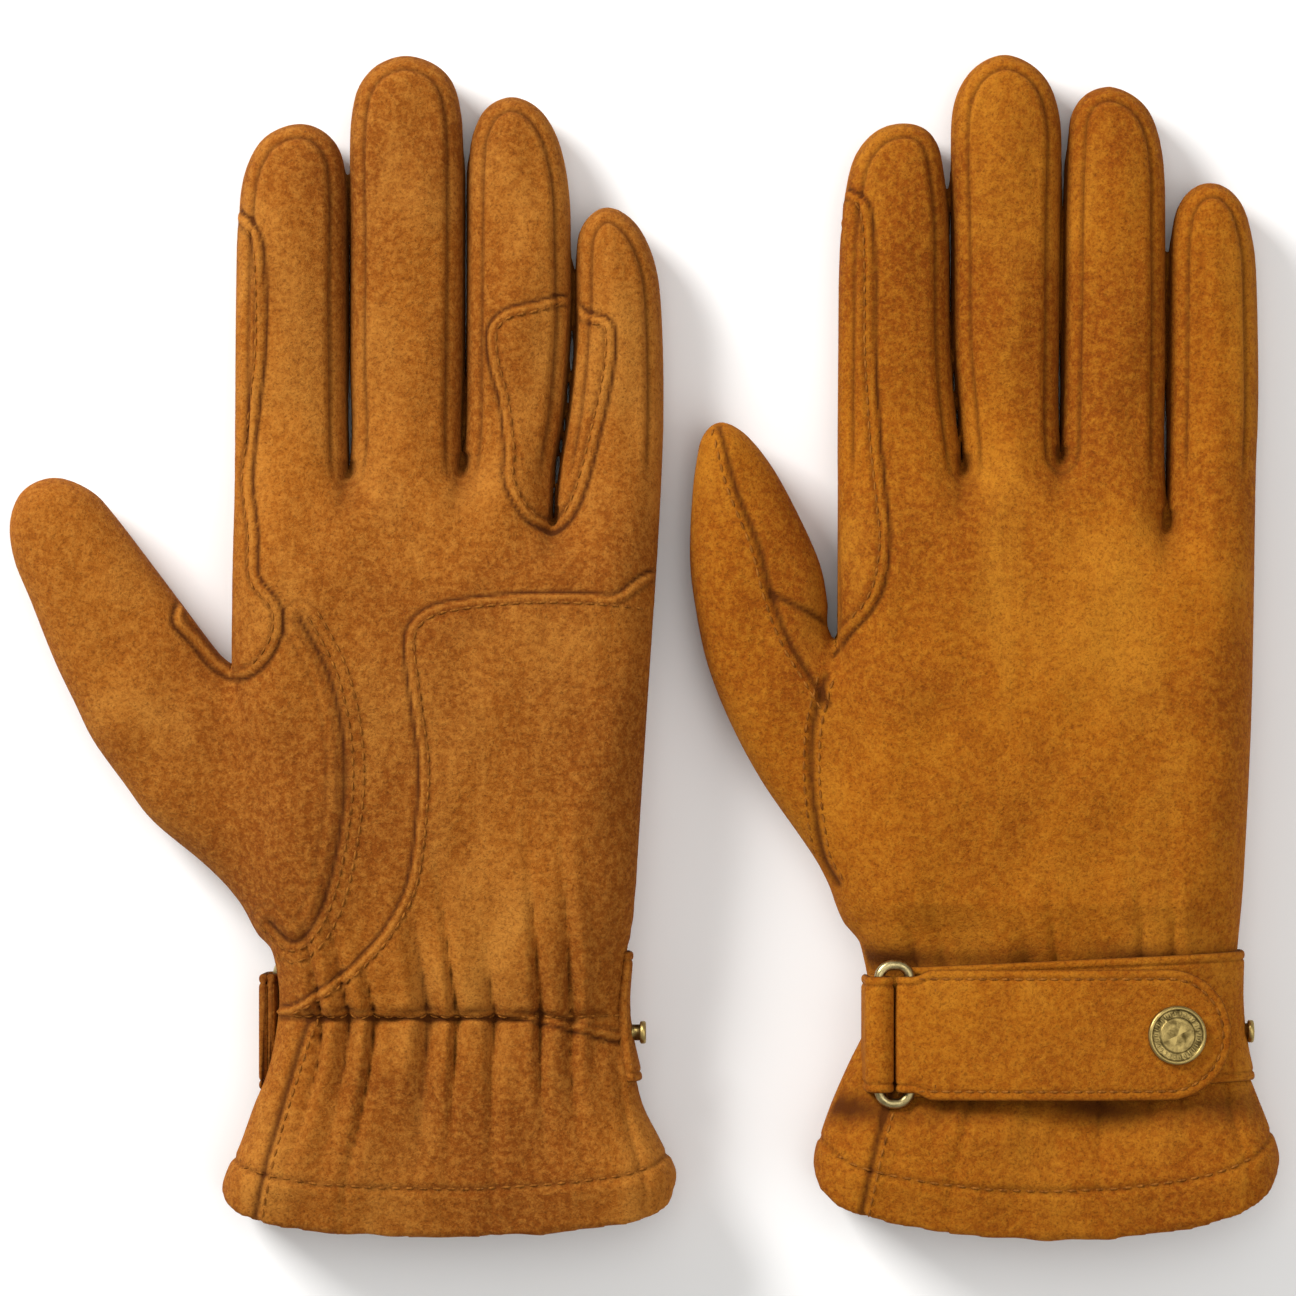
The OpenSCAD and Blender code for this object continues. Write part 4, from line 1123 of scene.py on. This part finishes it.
class Nodes:
    """A small helper that adds and joins a material's nodes."""

    def __init__(self, name):
        self.material = bpy.data.materials.new(name)
        self.material.use_nodes = True
        self.tree = self.material.node_tree
        self.shader = self.tree.nodes["Principled BSDF"]
        self.place = self.add("ShaderNodeTexCoord").outputs["Object"]

    def add(self, kind, **settings):
        node = self.tree.nodes.new(kind)
        for key, value in settings.items():
            setattr(node, key, value)
        return node

    def link(self, a, b):
        self.tree.links.new(a, b)

    def noise(self, scale, detail=3.0, rough=0.55, distort=0.0, stretch=None):
        node = self.add("ShaderNodeTexNoise")
        node.inputs["Scale"].default_value = scale
        node.inputs["Detail"].default_value = detail
        node.inputs["Roughness"].default_value = rough
        node.inputs["Distortion"].default_value = distort
        source = self.place
        if stretch:
            mapping = self.add("ShaderNodeMapping")
            mapping.inputs["Scale"].default_value = stretch
            self.link(self.place, mapping.inputs["Vector"])
            source = mapping.outputs["Vector"]
        self.link(source, node.inputs["Vector"])
        return node.outputs["Fac"]

    def spread(self, value, low, high, to_low=0.0, to_high=1.0):
        node = self.add("ShaderNodeMapRange", clamp=True)
        self.link(value, node.inputs["Value"])
        for key, number in (("From Min", low), ("From Max", high), ("To Min", to_low), ("To Max", to_high)):
            node.inputs[key].default_value = number
        return node.outputs["Result"]

    def math(self, kind, a, b):
        node = self.add("ShaderNodeMath", operation=kind)
        for socket, value in zip(node.inputs, (a, b)):
            if isinstance(value, (int, float)):
                socket.default_value = value
            else:
                self.link(value, socket)
        return node.outputs[0]

    def mix(self, factor, a, b, blend="MIX"):
        node = self.add("ShaderNodeMix", data_type="RGBA", blend_type=blend)
        for socket, value in ((node.inputs[0], factor), (node.inputs[6], a), (node.inputs[7], b)):
            if isinstance(value, (tuple, float, int)):
                socket.default_value = value
            else:
                self.link(value, socket)
        return node.outputs[2]

    def bump(self, layers):
        """Each layer: a height, its strength and its depth in metres."""
        last = None
        for height, strength, depth in layers:
            node = self.add("ShaderNodeBump")
            node.inputs["Strength"].default_value = strength
            node.inputs["Distance"].default_value = depth
            self.link(height, node.inputs["Height"])
            if last:
                self.link(last, node.inputs["Normal"])
            last = node.outputs["Normal"]
        self.link(last, self.shader.inputs["Normal"])

    def set(self, **values):
        for key, value in values.items():
            self.shader.inputs[key.replace("_", " ")].default_value = value


def suede(name, dark, middle, light, groove):
    """Napped leather: soft brushed clouds and a fine speckle of fibres, with painted shade in grooves and on
    turning edges and painted highlight on crests.
    """
    n = Nodes(name)
    cloud = n.noise(17, 3, 0.5, 0.5)
    brushed = n.noise(46, 4, 0.55, 0.8, (1.0, 0.6, 1.0))
    mottle = n.noise(620, 3, 0.65)
    fibre = n.noise(1750, 3, 0.75, 0.3)
    colour = n.mix(n.spread(cloud, 0.34, 0.66), dark, middle)
    colour = n.mix(n.spread(brushed, 0.5, 0.74, 0.0, 0.6), colour, light)
    colour = n.mix(n.spread(brushed, 0.48, 0.26, 0.0, 0.55), colour, dark)
    colour = n.mix(n.spread(mottle, 0.42, 0.72, 0.0, 0.5), colour, light)
    colour = n.mix(n.spread(mottle, 0.5, 0.3, 0.0, 0.35), colour, dark)
    colour = n.mix(n.spread(fibre, 0.5, 0.3, 0.0, 0.6), colour, groove)
    colour = n.mix(n.spread(fibre, 0.55, 0.75, 0.0, 0.5), colour, light)
    # Painted shade towards the groove colour below zero, and painted highlight and pale worn edges towards
    # the light colour above zero
    painted_light_and_wear = n.add("ShaderNodeAttribute", attribute_name="painted_light_and_wear").outputs["Fac"]
    colour = n.mix(n.spread(painted_light_and_wear, -0.03, -0.85, 0.0, 0.95), colour, groove)
    colour = n.mix(n.spread(painted_light_and_wear, 0.06, 0.6, 0.0, 0.45), colour, light)
    n.link(colour, n.shader.inputs["Base Color"])
    n.link(n.spread(mottle, 0.3, 0.7, 0.88, 1.0), n.shader.inputs["Roughness"])
    n.set(Sheen_Weight=0.06, Sheen_Roughness=0.4, Specular_IOR_Level=0.1)
    n.shader.inputs["Sheen Tint"].default_value = light
    n.bump([(brushed, 0.25, 0.0012), (mottle, 0.55, 0.0005), (fibre, 0.7, 0.0003)])
    return n.material


def cloth(name, colour, pale, pitch):
    """A fine knit: two crossed waves with a little unevenness."""
    n = Nodes(name)
    across = n.add("ShaderNodeTexWave", wave_type="BANDS", bands_direction="X")
    across.inputs["Scale"].default_value = 0.32 / pitch
    across.inputs["Distortion"].default_value = 1.5
    along = n.add("ShaderNodeTexWave", wave_type="BANDS", bands_direction="Y")
    along.inputs["Scale"].default_value = 0.32 / pitch
    n.link(n.place, across.inputs["Vector"])
    n.link(n.place, along.inputs["Vector"])
    weave = n.math("MULTIPLY", across.outputs["Fac"], along.outputs["Fac"])
    base = n.mix(n.spread(n.noise(120, 3), 0.3, 0.7), colour, pale)
    n.link(n.mix(n.spread(weave, 0.0, 0.6, 0.75, 0.0), base, colour), n.shader.inputs["Base Color"])
    n.set(Roughness=0.95, Sheen_Weight=0.2, Specular_IOR_Level=0.2)
    n.bump([(weave, 0.7, pitch * 0.4)])
    return n.material


def thread_material():
    n = Nodes("waxed_thread")
    twist = n.noise(1500, 2, 0.5, 0.0, (1.0, 0.35, 1.0))
    base = n.mix(n.spread(twist, 0.3, 0.7), linear(96, 52, 12), linear(158, 98, 34))
    n.link(base, n.shader.inputs["Base Color"])
    n.set(Roughness=0.9, Specular_IOR_Level=0.08)
    n.bump([(twist, 0.5, 0.0001)])
    return n.material


def metal(name, dark, bright, roughness, wear):
    """Worn metal: tarnish that thins out in rubbed places."""
    n = Nodes(name)
    tarnish = n.noise(420, 5, 0.65, 0.5)
    scratch = n.noise(1500, 3, 0.6, 0.2, (1.0, 0.15, 1.0))
    blend = n.spread(tarnish, 0.36, 0.66)
    base = n.mix(blend, dark, bright)
    pointed = n.add("ShaderNodeNewGeometry").outputs["Pointiness"]
    base = n.mix(n.spread(pointed, 0.5, 0.56, 0.0, wear), base, bright)
    n.link(base, n.shader.inputs["Base Color"])
    n.link(n.spread(scratch, 0.3, 0.7, roughness - 0.08, roughness + 0.14), n.shader.inputs["Roughness"])
    n.set(Metallic=1.0)
    n.bump([(scratch, 0.25, 0.00006), (tarnish, 0.2, 0.0001)])
    return n.material


def make_materials():
    """The leather's colours differ a little between the two gloves, as two hides do."""
    sets = {}
    shared = {
        "thread": thread_material(),
        "lining": cloth("lining_knit", linear(150, 108, 58), linear(186, 142, 86), 0.0011),
        "wrist_elastic": cloth("elastic_web", linear(196, 186, 166), linear(226, 218, 200), 0.0014),
        "brass": metal("antique_brass", linear(74, 60, 30), linear(176, 152, 92), 0.36, 0.9),
        "steel": metal("pale_wire", linear(104, 88, 52), linear(190, 172, 122), 0.3, 0.8),
    }
    # The last colour, groove, is both the darkest fibres and the painted shade in grooves and creases
    for name, dark, middle, light, groove in (
        ("left", (122, 62, 10), (154, 88, 21), (184, 122, 48), (70, 32, 5)),
        ("right", (126, 61, 5), (156, 87, 11), (184, 120, 32), (74, 34, 3)),
    ):
        dark, middle, light, groove = (linear(*c) for c in (dark, middle, light, groove))
        body = suede(f"{name}_suede", dark, middle, light, groove)
        mats = dict(shared)
        mats["suede"] = body
        sets[name] = mats
    return sets


# Stage

def make_stage():
    """A pale table, soft light from all over and a camera straight above."""
    mesh = bpy.data.meshes.new("table")
    size = 3.0
    corners = [(-size, -size, 0), (size, -size, 0), (size, size, 0), (-size, size, 0)]
    mesh.from_pydata(corners, [], [(0, 1, 2, 3)])
    table = bpy.data.objects.new("table", mesh)
    n = Nodes("table_paper")
    n.link(n.mix(n.spread(n.noise(9, 3), 0.3, 0.7), linear(243, 242, 240), linear(247, 246, 244)),
           n.shader.inputs["Base Color"])
    n.set(Roughness=0.8, Specular_IOR_Level=0.2)
    mesh.materials.append(n.material)
    bpy.context.scene.collection.objects.link(table)
    for name, place, size, power in (
        ("key", (-0.95, 0.85, 0.8), 0.55, 27.0),
        ("fill", (0.8, -0.3, 1.1), 1.2, 5.0),
        ("top", (0.1, 0.3, 1.6), 1.0, 6.0),
    ):
        light = bpy.data.lights.new(name, "AREA")
        light.shape = "SQUARE"
        light.size = size
        light.energy = power
        obj = bpy.data.objects.new(name, light)
        obj.location = place
        obj.rotation_euler = (-Vector(place)).to_track_quat("-Z", "Y").to_euler()
        bpy.context.scene.collection.objects.link(obj)
    world = bpy.data.worlds.new("room")
    bpy.context.scene.world = world
    world.use_nodes = True
    world.node_tree.nodes["Background"].inputs[0].default_value = linear(250, 250, 250)
    world.node_tree.nodes["Background"].inputs[1].default_value = 0.42
    camera = bpy.data.objects.new("camera", bpy.data.cameras.new("camera"))
    camera.data.lens = 181.8
    camera.data.sensor_width = 36
    camera.location = (0, 0, 1.4)
    bpy.context.scene.collection.objects.link(camera)
    bpy.context.scene.camera = camera
    scene = bpy.context.scene
    scene.view_settings.view_transform = "Standard"


def main():
    materials = make_materials()
    for glove in (LEFT, RIGHT):
        name = glove["name"]
        mats = materials[name]
        skin = build_skin(glove, mats)
        sew(glove, skin, seam_rows(glove, skin["data"]), mats)
        make_base(name, skin, mats["suede"])
        make_tab(name, mats["suede"])
        make_loop(name, mats["suede"])
        make_ring(name, mats["steel"])
        make_hardware(name, mats)
        strap_stitches(name, mats["thread"])
    make_stage()


main()
